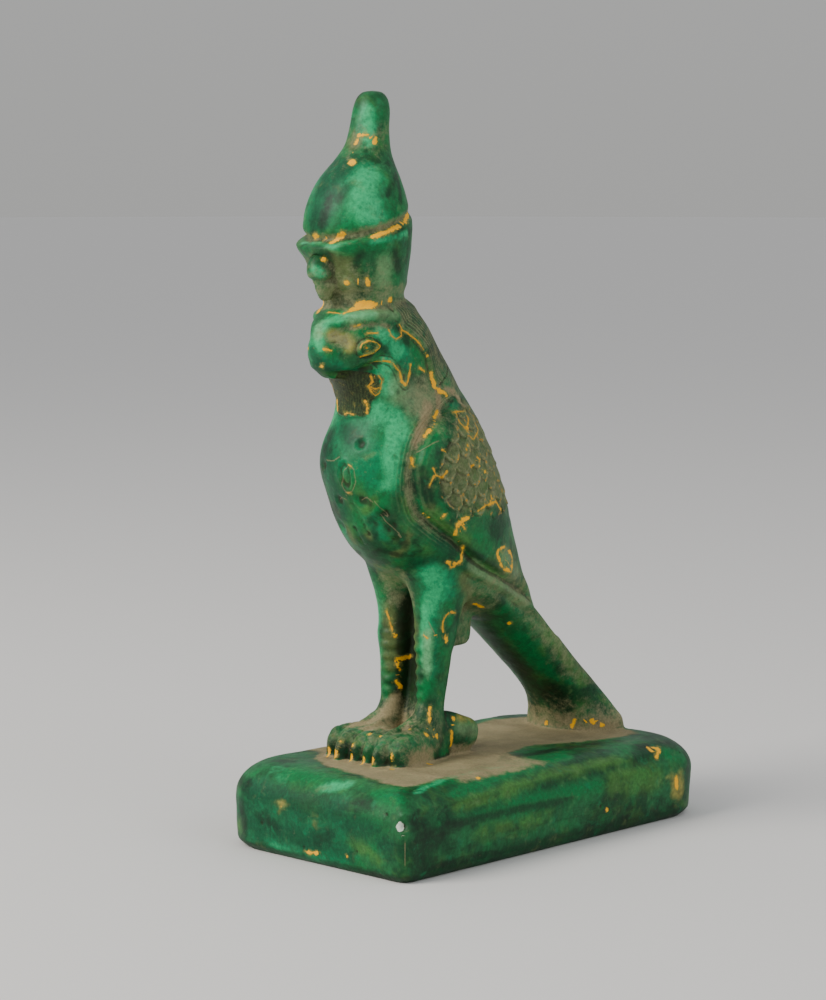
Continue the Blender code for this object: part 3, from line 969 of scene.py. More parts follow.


# Worn gold, and chips with one painted highlight: rows of a radius and the points of a line, for
# each way of being on one side or both.
GOLD = strokes(
    {
        Sides.BOTH: (
            (0.13, (5.6, -28.8, 91.5), (5.7, -28.3, 90.4), (4.7, -28.6, 89.6)),
            (0.13, (6.4, -26.9, 89.6), (6, -26.9, 88.2), (5.4, -27.3, 87.8)),
            (0.1, (6.4, -27.6, 91.6), (6.8, -27, 90.6), (6.4, -26.9, 89.6)),
            (0.1, (4.7, -28.6, 89.6), (5, -27.8, 88.4), (5.4, -27.3, 87.8)),
            (0.1, (6.4, -26.9, 89.6), (5.7, -27.5, 89.1), (4.7, -28.6, 89.6)),
            (0.26, (3.6, -28.1, 86.6), (3.9, -27.9, 85.5), (3.8, -28, 84.4)),
            (0.12, (-0.4, -28.7, 84.3), (1.1, -28.7, 84)),
            (0.48, (9.2, -31.9, 117.6), (10, -28.9, 118.5), (10, -25.8, 119.6)),
            (0.4, (9.5, -23.5, 120.4), (7.6, -20.7, 121.8)),
            (0.3, (3.5, -33.8, 103.5), (4.2, -32.5, 103.8)),
            (0.55, (4.2, -32.5, 104), (4.9, -31.2, 104.4)),
            (0.85, (4.9, -31.1, 104.7), (5.3, -30.5, 104.9)),
            (0.8, (5.3, -30.5, 104.8), (6.2, -29.6, 104.9)),
            (0.45, (5.9, -29.9, 104.9), (6.8, -28.6, 104.9)),
            (0.2, (5.3, -32.8, 100.9), (6, -32, 101.1)),
            (0.2, (2.2, -37.6, 96.7), (3.2, -36.7, 96.5)),
            (0.17, (6, -31.9, 95.3), (6.6, -31.1, 95.8), (7.4, -30.1, 96.1), (7.8, -29, 97.1)),
            (
                0.12, (7.9, -29, 97.2), (7.8, -29.7, 97.8), (7.1, -30.9, 98.2), (6.5, -31.9, 97.7),
                (6.4, -32.3, 97),
            ),
            (0.16, (7.1, -31.3, 96.95)), (0.1, (6.7, -30.8, 99.6), (7.7, -29.1, 99.6)),
            (0.13, (6.2, -28.8, 94.4), (7, -27.3, 94.6), (7.6, -26, 94.3)),
            (0.2, (7.8, -25.2, 93.8), (8, -24.5, 92.9), (8.3, -23.9, 92.1)),
            (0.22, (8.3, -23.8, 91.7), (8.4, -23.4, 90.5), (8.7, -22.7, 89.7)),
            (0.19, (9, -21.6, 93.5), (9, -21.8, 91.9), (8.8, -22.3, 89.8)),
            (
                0.09, (8.5, -26.9, 100.2), (8.5, -26.6, 99.1), (8.8, -25.4, 98.4), (8.7, -24, 99),
                (8.9, -24, 100.4), (8.8, -24.5, 101.2),
            ),
            (
                0.1, (8.9, -23.9, 100.1), (9.1, -22.6, 99.5), (9.1, -20.6, 98.4), (9, -18.9, 97.2),
                (8.9, -17.8, 96.1),
            ),
            (0.24, (9, -17, 94.9)), (0.2, (9.2, -19.3, 92.8), (9.2, -18.1, 92.1)),
            (0.3, (9.2, -16.2, 91.7), (9.6, -15.6, 89)),
            (0.3, (9.9, -14.8, 88.4), (10.1, -12.6, 87.2)),
            (0.3, (10.7, -16, 84.4), (11, -17, 83.4)), (0.4, (11.8, -19.3, 81), (11.7, -20.6, 80)),
        ),
        Sides.SHIFTED: (
            (0.3, (9.9, -14.7, 88), (10.2, -13.4, 87.8)),
            (0.14, (12, -13.2, 84), (11.4, -8.9, 84), (12.1, -8.5, 82.4)),
            (0.1, (13.6, -11, 80.4), (13.9, -9.4, 78.7), (12.1, -6, 80.4), (11.2, -6.2, 82.3)),
            (0.2, (14.9, -12.5, 77.1)), (0.16, (15.4, -11.5, 73.8), (15.4, -11, 74.1)),
            (0.16, (14.8, -9.3, 75.5), (14.7, -8.9, 75)), (0.2, (15, -7.5, 72.4)),
            (0.3, (1.3, -27.4, 136.4), (2.6, -26.5, 136.6)), (0.3, (1, -28, 135.1)),
            (0.3, (3.7, -25.9, 135.1), (3.7, -25.5, 135.8)), (0.56, (4.3, -33.8, 109)),
            (0.3, (7.4, -31.5, 109.9), (7.2, -31, 108.8)), (0.2, (11.7, -17.8, 82.1)),
            (0.14, (12.1, -12.7, 84), (13, -12, 82.1), (13.4, -10.9, 80.8), (11.9, -8.5, 82.7)),
            (0.3, (13.2, -10.5, 81.1)), (0.24, (11.6, -23.8, 76.2), (12.2, -24.1, 74.4)),
            (0.16, (14.4, -18.7, 77.3), (14.6, -17.8, 77)), (0.24, (14.6, -11.8, 77.8)),
            (0.2, (15.2, -15.4, 75.4)),
            (
                0.16, (14.2, -20.9, 74.1), (14.4, -20.4, 72.8), (14.8, -19, 72.2),
                (15.1, -17.9, 73.3),
            ),
            (0.14, (14.2, -20.8, 72.5), (13.8, -21.4, 70.9)), (0.3, (14.8, -7, 72.4)),
            (0.3, (15.1, -9.3, 73.8)),
            (
                0.22, (15.3, -9.6, 65.2), (15.2, -7.6, 66), (14.8, -5, 66.4), (14.3, -3.3, 66.7),
                (13.6, -1.1, 64.1),
            ),
            (0.2, (14.9, -5.3, 67.8)),
            (0.44, (14.5, -14.5, 63.1), (14.8, -13.5, 63.7), (15.1, -12.1, 64.1)),
            (0.28, (13.9, -14.2, 60.8), (14.3, -14.4, 62.5)),
            (0.2, (14.6, -12.3, 61.9), (14.6, -13.8, 63.1)), (0.4, (14, -17.7, 64.9)),
            (0.4, (12.5, -20.5, 63.9)), (0.24, (12.1, -21.4, 64.8)),
            (
                0.28, (13.1, 0.3, 57.2), (13.4, -1.5, 56.8), (13.4, -1.9, 56), (12.9, -0.4, 54.3),
                (12.4, 0.8, 52.9), (11.6, 4.1, 51.8), (11.5, 4.7, 53.1), (11.7, 4.3, 55.1),
                (12.5, 2.2, 56.5),
            ),
            (
                0.27, (13.5, -11.6, 57.8), (12.9, -10.8, 56.6), (11.5, -10.4, 55.4),
                (10.9, -11.7, 55), (10.7, -13.3, 55.5),
            ),
            (0.16, (12.1, -10.3, 55.8), (10.9, -10.7, 54.5), (10.8, -12.4, 54.3)),
            (0.4, (6.6, -0.8, 45.4), (6.7, 1.4, 44.5)), (0.36, (6.4, 9.7, 40.4)),
            (
                0.14, (8.2, -11.6, 40.6), (8.3, -11.9, 42.6), (8.6, -11.5, 44.2),
                (8.9, -10.4, 45.1), (8.8, -8.6, 44.6),
            ),
            (0.3, (8.3, -10.7, 39.2), (8.3, -10.9, 40.4)),
            (0.2, (6.6, -14.3, 40.1), (6.1, -14.7, 40.7)),
            (0.32, (6.8, -13.8, 26.3), (7.5, -14.8, 23.6)), (0.56, (8.9, -16.9, 21.8)),
            (0.46, (8.4, -13.6, 20.9)), (0.26, (7.5, -8.4, 21.1), (7.4, -8.5, 18.4)),
            (0.45, (7, -7.4, 23.5)),
        ),
        Sides.ONE: (
            (0.12, (2.4, -31.5, 74.7), (2.9, -31.3, 74.4)),
            (0.16, (0.9, -30.2, 69.2), (1.5, -30.2, 69.3)),
            (0.44, (-1.8, -36.2, 117.6), (-0.5, -36.6, 117.9)),
            (0.44, (2.9, -36.5, 116.5), (3.7, -35.6, 117.3), (5, -35.3, 118.3)),
            (0.12, (-0.2, -34.2, 103.4), (2.8, -34.1, 103.3)), (0.5, (1.7, -37.2, 113.4)),
            (0.36, (1.1, -37.1, 93.6)), (0.8, (2.5, -30.5, 131.4)), (0.5, (7.6, -25.6, 105.7)),
            (0.28, (-4.5, -27, 20.1)), (0.36, (-1.5, -26.5, 19.6)), (0.3, (0.4, -23.9, 21.5)),
            (0.3, (3.1, -23.7, 21.5)), (0.24, (6.4, -19, 22.6)),
            (0.36, (-8.9, -26.4, 17.9), (-8.9, -26.6, 17.2)),
            (0.42, (-5.1, -27.6, 18), (-5, -27.8, 17.2)),
            (0.36, (-1.7, -27.3, 17.7), (-1.6, -27.4, 17)),
            (0.36, (1.6, -27.3, 17.7), (1.7, -27.4, 17)),
            (0.44, (5, -27.7, 17.9), (5.1, -27.8, 17.1)),
            (0.34, (8.4, -26.6, 19.6), (8.5, -26.8, 18.6)),
            (0.2, (8.6, -26.8, 17), (9.2, -26.5, 17)),
            (0.16, (-4.1, -15, 45), (-3.4, -14.5, 42.3), (-3, -14.2, 40.4)),
            (0.36, (-2.6, -13.8, 39.3)),
            (0.4, (-2.7, -13.4, 35), (-2.3, -12.6, 35), (-1.8, -10.7, 35.3)),
            (0.4, (-2.6, -13.2, 33.8)), (0.24, (-2.4, -12.7, 32.7)),
            (0.36, (-2.8, -13.4, 30.4), (-2.4, -12.4, 29.1)), (0.46, (-0.3, 28.6, 16.9)),
            (0.44, (6.3, 30, 18), (5.7, 29.7, 16.8)), (0.5, (8.8, 32.3, 18)),
            (0.36, (10.1, 34, 17)), (0.24, (9.8, -18.2, 16.3), (10.5, -17.3, 16.3)),
            (0.4, (24.4, -19.1, 15.9)),
            (0.4, (25.4, 30.2, 14.8), (27.5, 30.4, 13.1), (25.9, 33, 14.5)),
            (0.5, (28.6, 35.2, 8.4), (28.7, 35.6, 6.4)), (0.4, (28.6, 13.8, 5.2)),
            (0.3, (2.6, -43.1, 2.2), (5.8, -43.2, 2.5)), (0.3, (-3.7, -43.4, 10)),
            (0.2, (13.4, -43.2, 3.1)),
        ),
    }
)
CHIPS_AND_HIGHLIGHT = strokes(
    {
        Sides.SHIFTED: (
            # A painted highlight: the pale line along the wing's upper front edge.
            (0.12, (12, -22.9, 77.2), (13.1, -21.4, 78.1), (13.8, -18.9, 79)),
        ),
        Sides.ONE: (
            (0.1, (5.6, -27.9, 68.2), (6.6, -26.6, 66.2), (7.1, -25.8, 64.9)),
            (0.1, (6.2, -26.8, 65), (7.6, -24.9, 62.4), (8.2, -23.8, 61.4)),
            (
                0.09, (2.5, -31.5, 74.8), (3.5, -31.1, 73.8), (3.5, -30.6, 71.5),
                (2.2, -30.2, 69.6), (0.6, -30.1, 69.1), (0, -30.9, 70.8), (0.9, -31.6, 73.4),
                (2.5, -31.5, 74.8),
            ),
            (0.1, (-2.4, -29.2, 67.6), (-1.1, -29.8, 68.2), (0.1, -29.7, 67.7)),
            (0.1, (3.4, -29.2, 67.7), (4.8, -29, 68.6), (5.5, -28.4, 67.6)),
            (0.85, (27.3, -43.3, 10.9)), (0.1, (28.3, -42.9, 8.5), (28.3, -42.9, 2.4)),
            (0.12, (-4.2, -31, 75.2), (-1.8, -31.6, 75.1), (0.1, -31.6, 76.1)),
            (0.16, (8, -23.8, 61.2), (8.3, -23.3, 60.6)), (0.12, (12.7, -4.5, 53.4)),
            (0.14, (11.5, 0.1, 50.6), (11.9, 0.6, 50.2)),
            (0.1, (6.8, -14.3, 43.4), (7.6, -13.2, 40.7)),
        ),
    }
)


def near_marks(places: Array) -> Array:
    """Finds the points close to a painted mark or a chip.

    Args:
        places: Points in millimetres on the falcon's axes.

    Returns:
        Which of them are close to one.
    """
    near = np.zeros(len(places), bool)
    for mark in GOLD + CHIPS_AND_HIGHLIGHT:
        for line in mark.copies():
            reach = mark.radius + 1.3
            near |= ((places > line.min(0) - reach) & (places < line.max(0) + reach)).all(1)
    return near


# Washes of stain, with painted highlight and shade among them: rows of a radius and the points
# of a line, for each stain. The breast's shade washes are only on the falcon's left side.
WASHES: dict[Stain, tuple] = {
    # Pale washes, partly painted highlight: the glow on the crown and the light line along the rim's
    # lip.
    Stain.PALE: (
        (0.9, (-7.9, -43.2, 3.2), (-5, -43.2, 2.3), (0.4, -43.1, 2.3)),
        (1, (1.7, -35.6, 101.9), (3.3, -34.5, 102.6), (5.5, -32.7, 103.2), (7.3, -30.5, 103.2)),
        (1.3, (0.9, -36.2, 101), (0.7, -37.7, 99), (0.8, -38.1, 97)),
        (1.5, (8, -28.3, 99.8), (8.5, -26.2, 98.3), (8.7, -24.7, 96)),
        (1.4, (7.5, -26.6, 94), (7, -27, 91.5), (7.1, -25.7, 89)),
        (0.8, (1.1, -38.9, 111.4), (1.9, -37.7, 110.6)),
        (0.5, (-5.1, -36, 116.6), (4.4, -37.3, 115.8), (9.8, -31.3, 116.8), (10, -23.6, 118.3)),
        (2.6, (6.4, -30, 128.6), (6.6, -32.5, 125.5), (8.4, -32, 121.9)),
        (1.1, (1.9, -25.9, 141.1), (2.8, -26, 138), (3.1, -26.6, 135.4)),
        (2.1, (5.7, -26.9, 84.3), (8, -25.2, 83.2), (9.4, -25.1, 80.7)),
        (1.5, (9.1, -26.2, 79.7), (9.5, -27.4, 75.6), (9.1, -27.4, 71.3)),
        (2, (8.9, -15.5, 53.3), (9, -14, 50.5), (7.4, -14.3, 46.6)),
        (1, (6.4, -14.9, 46.2), (6.3, -14.6, 40.3), (6.3, -14.2, 34.5)),
        (1.2, (6.6, -41.1, 14.9), (10.4, -39.9, 15.8)),
        (0.5, (24.9, -36.7, 15.9), (21.4, -22.2, 16.3), (21.6, -8.6, 16.1)),
    ),
    Stain.TURQUOISE: (
        (1.2, (10.4, -11.5, 85.4)), (1.4, (4.5, -27.8, 64), (4.8, -25.4, 60.8)),
        (1.4, (-11.3, -43.4, 10.1), (-8.7, -43.4, 8.2), (-4.6, -43.5, 9.6)),
        (1.4, (-2, -43.4, 6.7), (3.3, -43.3, 5.6), (8.7, -43.4, 7)),
        (0.8, (-1.4, -37.9, 97.8), (-0.4, -38.1, 95.6)),
        (1, (1.6, -37.5, 94.6), (3.3, -35.8, 93.8), (3.8, -31.1, 92.8)),
        (1.2, (8.9, -23.5, 96), (8.9, -22.3, 93.5)),
        (3, (2.7, -32.6, 129.1), (1.5, -35, 126.1), (-1, -36.2, 123.5)),
        (1, (1, -26.5, 140.6), (1.2, -27.1, 137.5)),
        (3.2, (-2.7, -28.6, 82.9), (-3, -30.1, 79.2), (-0.8, -31.6, 75.7)),
        (3.2, (1.6, -28.8, 83.1), (5.1, -29.7, 78.6), (6.2, -30.1, 74)),
        (1.4, (10.3, -12.3, 52.1), (9.6, -10.7, 48.6)),
        (1.2, (7, -14.4, 45.5), (7.3, -13.7, 40.4), (6.8, -13.7, 33.8)),
        (3, (-11, -43.3, 11.1), (-11.2, -43.2, 3.8), (-4.2, -43.2, 2.9)),
        (1.6, (-1, -43.5, 8.6), (5.9, -43.4, 6.6)),
    ),
    Stain.EMERALD: (
        (2.2, (9.6, -25, 123.6), (8.6, -22.9, 124.4), (6.4, -21.4, 128.2)),
        (1.6, (14, -43.3, 11.1), (20.1, -43.5, 9.6)),
        (2, (9.6, -29.1, 114), (9.3, -28.4, 111.6), (8.6, -28.4, 109.1)),
        (1.2, (6.2, -36.3, 115.3), (10.1, -29.3, 116.4)),
        (1.4, (9.2, -20.8, 95.9), (9.2, -19.6, 93.4)),
        (2.6, (9.8, -28.7, 121.9), (4.5, -35.8, 120.9)),
        (2.6, (6.9, -29.3, 71.9), (3.3, -30.8, 71.7)),
        (2.2, (-2.5, -29.6, 68), (-1.5, -28.4, 64.3)),
        (1.6, (11.3, -17.6, 60.2), (10.9, -15.3, 57.8)), (0.9, (8.8, -10, 44.4), (8.6, -10, 43)),
        (1.1, (10.3, -12.3, 85.4), (10.9, -12, 85)),
        (1.1, (13.5, -17.2, 80.7), (12.9, -21.9, 77.8), (13, -23.4, 75.3)),
        (1.8, (14.7, -9.1, 60.8), (13.9, -5, 57.1)), (1.4, (5.2, -14.6, 29.3), (7, -13.4, 31.6)),
        (1.8, (5.5, 13, 36.8), (5.4, 17.6, 32.9), (5.4, 21.6, 29.4)),
        (2.4, (-5.4, -40.4, 15.5), (4.4, -38.9, 16.2)),
        (1.6, (18.4, -40.9, 15.1), (24.6, -41.5, 14.6)),
        (1.4, (26.8, -28, 14.5), (24.3, -8.5, 15.8), (22.6, 8.5, 15.9)),
        (1.8, (28.8, -22.5, 9.5), (28.7, -4.1, 10), (28.7, 11.3, 10.4)),
        (1.4, (27.2, 34.3, 13.5), (27.9, 38.4, 11.9)),
        (3, (-5.5, -29, 80), (-7, -28.5, 75), (-6.5, -28.5, 69)),
    ),
    Stain.MOSS: (
        (0.8, (9.8, -24.4, 68.5), (9.9, -23.3, 66.1), (10.1, -22.1, 64.2)),
        (0.8, (5.9, -28.3, 68), (3.8, -28.4, 65.8)),
        (1.5, (13.2, -19.9, 65.3), (13.6, -15.8, 61.3), (14, -11.6, 59.3)),
        (1.4, (13, -4.1, 54.3), (11.8, 2, 50.8)),
        (1.2, (8, 19.1, 37.5), (8.2, 24.7, 32.4), (8.3, 30.4, 26.3)),
        (1, (7.3, -6.3, 23), (7.3, -2.1, 22.1)), (1, (14.4, -43.3, 5.9), (21.4, -43.2, 4.1)),
        (1.2, (1.6, -43.2, 11.5), (5.9, -43.3, 11.1)),
        (1.1, (28.2, -29.6, 12.2), (27.4, -14.9, 13.5), (26.7, 1.1, 14.2), (26.7, 19.5, 14.1)),
        (2.6, (28.7, 15.9, 10.2), (28.7, 28.1, 9.9)), (1.2, (28.7, -23.9, 6.8), (28.7, -4, 6.7)),
    ),
    Stain.OLIVE: (
        (0.9, (1.9, -31.2, 73.6), (1.9, -30.7, 71.2)),
        (2.2, (4.7, -35.3, 112.8), (4.6, -34.1, 110), (1.5, -34.5, 107.5)),
        (1.2, (0.6, -27.5, 136.5), (0.5, -28.2, 134.9)),
        (1, (-1.7, -29.6, 67.8), (-0.7, -29.6, 67.4)),
        (1, (2, -28.8, 65.7), (2.6, -27.6, 62.9), (2.7, -26.4, 60.7)),
        (0.8, (9.4, -22.1, 61.4), (7.6, -21.7, 58.1), (5.1, -22.2, 56.8)),
        (1.4, (10.8, -8.4, 51.7), (5.2, -2, 45.1)),
        (1.6, (-3.4, -14.6, 44.4), (-3.1, -14.3, 38.6), (-3.1, -13.9, 33.4)),
        (0.9, (1.5, -31.3, 73.6), (1.3, -31, 71.4)),
        (0.5, (-8.5, -25.2, 20.6), (-4.5, -26.8, 20.4)), (0.5, (1.2, -26.2, 19.9)),
    ),
    Stain.DARK: (
        (0.9, (-4.6, -28.4, 64.5), (-4, -27, 60.5)), (0.8, (11.6, -24.6, 73), (11.8, -23.6, 68.8)),
        (1, (-14, -42, 13), (-15.5, -42.6, 8), (-14, -42.9, 3.5)),
        (1, (1.9, -35.7, 124.4), (1, -36.9, 119.8)), (0.9, (10, -26.9, 114.4), (9.3, -25, 111.1)),
        (0.8, (8, -33.5, 114.5), (6.4, -33.6, 112)),
        (0.6, (8.9, -27.5, 125.5), (6.8, -22.9, 129.2), (9.1, -24.2, 124.5)),
        (0.9, (4.5, -33.6, 126.6), (3.8, -35.1, 124.5)), (0.7, (4, -29.9, 79.1), (4.4, -30, 78.5)),
        (0.8, (4.4, -29, 67.9), (4.9, -28.6, 67.3)),
        (0.9, (7.2, -26.2, 64.5), (7.7, -24.9, 62.6), (8.1, -22.3, 59.2)),
        (0.6, (3.3, -24.1, 57.9), (6.5, -21.3, 56.9), (9.5, -19.2, 57.7)),
        (1, (13.4, -22.8, 73.9), (13.4, -21.7, 69.7), (13.4, -20.6, 67.5)),
        (0.8, (13.6, -12.3, 58.5), (13.4, -6.1, 55.6), (12.1, 1.7, 52)),
        (1.8, (0.2, 10, 37.7), (0.9, 16, 32.6), (-1.1, 23.2, 26.1), (-3.6, 28.5, 19.7)),
        (1.6, (3.7, 24.2, 25.8), (4.9, 28.6, 20.7)),
        (1.6, (-1, -11.8, 45.9), (-1.4, -10.9, 39.1), (-1, -10.5, 31.7)),
        (1, (8, -3.8, 20.2), (7.6, -6.6, 18.3)), (1.3, (13.5, -43.1, 11.8), (18.2, -42.1, 13.8)),
        (1.5, (-8.9, -43.4, 7.3), (-6.1, -43.3, 6.2)),
        (2.4, (28.5, -39.1, 11.4), (28.7, -36.9, 7.2), (28.5, -38.3, 3.5)),
        (0.8, (28.8, -33.2, 9.4), (28.8, -16.4, 9.6), (28.8, 2, 9.1)),
        (1.2, (16.2, -1.2, 16), (16.7, 15.3, 15.8), (18.8, 28.4, 15.6)),
        (0.9, (28.4, -37.4, 1.9), (28.4, -9.8, 2.1), (28.4, 11.6, 2.3), (28.4, 34.6, 2.3)),
        (1.2, (24.9, 29, 15), (25.4, 38.1, 14.3)),
        (1.4, (-8.5, -26.5, 76), (-8.3, -26, 70), (-7, -25.5, 64)),
        (0.9, (2.5, -32.5, 92.3), (4.2, -30.2, 92.6)), (0.8, (-2.9, -31, 77.1)),
    ),
    Stain.OCHRE: (
        (0.9, (7, -5.5, 23.4), (6.9, -2.7, 22.7)), (0.8, (-5.5, -43.5, 9.4), (-4.2, -43.4, 10.6)),
        (1.8, (28.7, 35.5, 7.9), (28.6, 36.3, 5.6)),
        (1.1, (2.7, -35.7, 99.2), (4.4, -34.2, 98.4), (4.9, -33.7, 97.4)),
    ),
    Stain.DEEP: (
        (2.2, (-13.5, -43.2, 11.5), (-4, -43.4, 11.8), (6, -43.4, 11)),
        (2.2, (-13, -43.3, 5.5), (-4, -43.4, 5), (10, -43.4, 5)),
        (2, (12, -43.3, 9.5), (20, -43.3, 9), (25, -43, 6)),
        (1.2, (-0.6, -38.1, 96.1), (0.5, -37.6, 94.3), (2.7, -35.4, 93.2)),
        (2, (1, -36.8, 122), (0.5, -35.5, 127), (2, -31.5, 131.5)),
        (1.8, (11.4, -16.5, 60.4), (10.6, -13.8, 57.6), (7, -18.5, 56)),
    ),
    Stain.MILKY: (
        (1.3, (5.1, -33.2, 102.5), (7.2, -30, 103.6), (8.2, -25.7, 103.1)),
        (2.4, (8.3, -23.6, 89.1), (9.3, -21.4, 87.5), (10, -20.5, 85.8)),
        (1.8, (9.6, -29.1, 112.5), (8.8, -28.4, 109.5)),
        (0.9, (0.5, -37.6, 99.3), (0.2, -36.2, 101.1)),
        (1.1, (12, -7.5, 54.3), (10.8, 1, 49.8), (8.7, 11.6, 44.5)),
        (1.6, (7.5, -6, 21.5), (7.4, -2, 20.5)), (1.8, (12.6, 1.5, 55.5), (11.6, 6.5, 52)),
        (0.9, (6.6, -14, 41), (6.3, -14.2, 34)),
    ),
    Stain.DUST: (
        (0.8, (9.6, -13, 88.3), (9.8, -10.5, 87.8)),
        (1.1, (10.6, -18.2, 85.6), (11, -20.1, 82.3), (11.1, -22.2, 79.2)),
        (0.8, (9.3, -14.4, 89), (10.4, -15.4, 86.6), (11, -16, 84)),
        (0.8, (9.6, -9.4, 88), (10.9, -8.4, 85.4)),
        (1.6, (3.1, 16.9, 15.8), (6.4, 25.3, 15.7), (10.9, 35.7, 16.3)),
        (1.4, (-2.9, -13.6, 26.7), (-3.3, -16, 24), (-4.8, -18.7, 22.8), (-7, -21.5, 21.9)),
        (1.6, (1.5, -13, 23.5), (0.5, -18, 22), (-2.5, -21.5, 21.6)),
    ),
}
# Painted shade on the breast, in the colours of the dark stain and the deep glaze.
BREAST_SHADE_WASHES: dict[Stain, tuple] = {
    Stain.DARK: (
        (2, (-5.2, -29.5, 78.8), (-7.1, -29.6, 74.5), (-7.9, -27.2, 68.5), (-6.4, -26.5, 64.1)),
    ),
    Stain.DEEP: (
        (2.6, (-4.5, -30.5, 79), (-3.5, -31, 74.5), (-3, -30, 69.5), (-2.5, -28.5, 64.5)),
        (1.8, (-1, -30.3, 81.5), (2, -31, 80)),
    ),
}


class Graph:
    """Adds nodes to a material's or a group's tree and wires them."""

    def __init__(self, tree: bpy.types.NodeTree) -> None:
        """Keeps the tree that the nodes go in."""
        self.tree = tree

    def put(self, socket: Socket, value: object) -> None:
        """Wires or sets one input.

        Args:
            socket: The input.
            value: Another node's output, a number, a colour or a vector.
        """
        if isinstance(value, Socket):
            self.tree.links.new(value, socket)
        elif isinstance(value, tuple) and socket.type == "RGBA":
            socket.default_value = (*value[:3], 1.0)
        else:
            socket.default_value = value

    def node(self, kind: str, *values: object, **settings: object) -> bpy.types.Node:
        """Adds a node.

        Args:
            kind: Its type name, less the word that all of them start with.
            values: Its first inputs in order, None to leave one alone.
            settings: Its properties by name.

        Returns:
            The node.
        """
        made = self.tree.nodes.new(kind if kind.startswith("Node") else f"ShaderNode{kind}")
        for name, value in settings.items():
            setattr(made, name, value)
        for socket, value in zip(made.inputs, values):
            if value is not None:
                self.put(socket, value)
        return made

    def fill(self, node: bpy.types.Node, **values: object) -> bpy.types.Node:
        """Wires or sets inputs by name, with a low line for each space, and returns the node.

        Args:
            node: The node.
            values: Values by the inputs' names.

        Returns:
            The node.
        """
        for name, value in values.items():
            self.put(node.inputs[name.replace("_", " ")], value)
        return node

    def math(self, operation: str, *values: object) -> Socket:
        """One step of arithmetic."""
        return self.node("Math", *values, operation=operation).outputs[0]

    def times(self, first: object, second: object) -> Socket:
        """A product."""
        return self.math("MULTIPLY", first, second)

    def times_plus(self, first: object, second: object, more: object) -> Socket:
        """A product with something added to it."""
        return self.math("MULTIPLY_ADD", first, second, more)

    def stirred(self, value: object, noise: object, amount: float) -> Socket:
        """A value pushed up and down by clouds."""
        return self.times_plus(self.math("SUBTRACT", noise, 0.5), amount, value)

    def vector(self, operation: str, *values: object) -> Socket:
        """One step of vector arithmetic that puts out a vector."""
        return self.node("VectorMath", *values, operation=operation).outputs[0]

    def scaled(self, vector: object, value: object) -> Socket:
        """A vector or a colour times a factor."""
        return self.vector("SCALE", vector, None, None, value)

    def length(self, value: object) -> Socket:
        """The length of a vector."""
        return self.node("VectorMath", value, operation="LENGTH").outputs["Value"]

    def step(self, value: object, low: float, high: float, most: float | None = None) -> Socket:
        """A smooth step from 0 at low to 1 at high, or to the most that is asked for.

        Args:
            value: What is read.
            low: Where the step starts.
            high: Where it ends.
            most: Its height, if not 1.

        Returns:
            The height of the step there.
        """
        made = self.node("MapRange", value, low, high, 0.0, 1.0, interpolation_type="SMOOTHSTEP")
        share = made.outputs["Result"]
        return share if most is None else self.times(share, most)

    def mix(self, share: object, first: object, second: object) -> Socket:
        """One colour laid over another.

        Args:
            share: How much of the second colour.
            first: The colour under it.
            second: The colour laid on.

        Returns:
            The new colour.
        """
        made = self.node("Mix", data_type="RGBA")
        for place, value in ((0, share), (6, first), (7, second)):
            self.put(made.inputs[place], value)
        return made.outputs[2]

    def attribute(self, name: str) -> bpy.types.Node:
        """Reads a mask of the mesh."""
        return self.node("Attribute", attribute_name=name)

    def mask(self, name: str) -> Socket:
        """Reads a mask of one value a point."""
        return self.attribute(name).outputs["Fac"]


def paint(red: int, green: int, blue: int) -> Colour:
    """A colour from a paint chart's 0 to 255, as the shader counts light."""
    shares = (value / 255 for value in (red, green, blue))
    return tuple(v / 12.92 if v <= 0.04045 else ((v + 0.055) / 1.055) ** 2.4 for v in shares)


def cloud_group() -> bpy.types.NodeTree:
    """Makes the group that gives warped clouds of one cell size.

    Returns:
        The group: Place, Cell in millimetres, Warp, Seed and Grain in, Value out.
    """
    tree = bpy.data.node_groups.new("warped cloud", "ShaderNodeTree")
    tree.interface.new_socket("Place", in_out="INPUT", socket_type="NodeSocketVector")
    for name in CLOUD_INPUTS:
        tree.interface.new_socket(name, in_out="INPUT", socket_type="NodeSocketFloat")
    tree.interface.new_socket("Value", in_out="OUTPUT", socket_type="NodeSocketFloat")
    graph = Graph(tree)
    inlet = graph.node("NodeGroupInput").outputs
    place = graph.scaled(inlet["Place"], graph.math("DIVIDE", 1 / MM, inlet["Cell"]))
    shift = graph.node("CombineXYZ", inlet["Seed"], inlet["Seed"], 0.0).outputs[0]
    place = graph.vector("ADD", place, shift)
    stir = graph.fill(graph.node("TexNoise", place), Scale=0.7, Detail=2.0)
    push = graph.vector("SUBTRACT", stir.outputs["Color"], (0.5, 0.5, 0.5))
    push = graph.scaled(push, inlet["Warp"])
    noise = graph.node("TexNoise", graph.vector("ADD", place, push))
    graph.fill(noise, Scale=1.0, Detail=5.0, Roughness=inlet["Grain"])
    graph.fill(graph.node("NodeGroupOutput"), Value=noise.outputs["Fac"])
    return tree


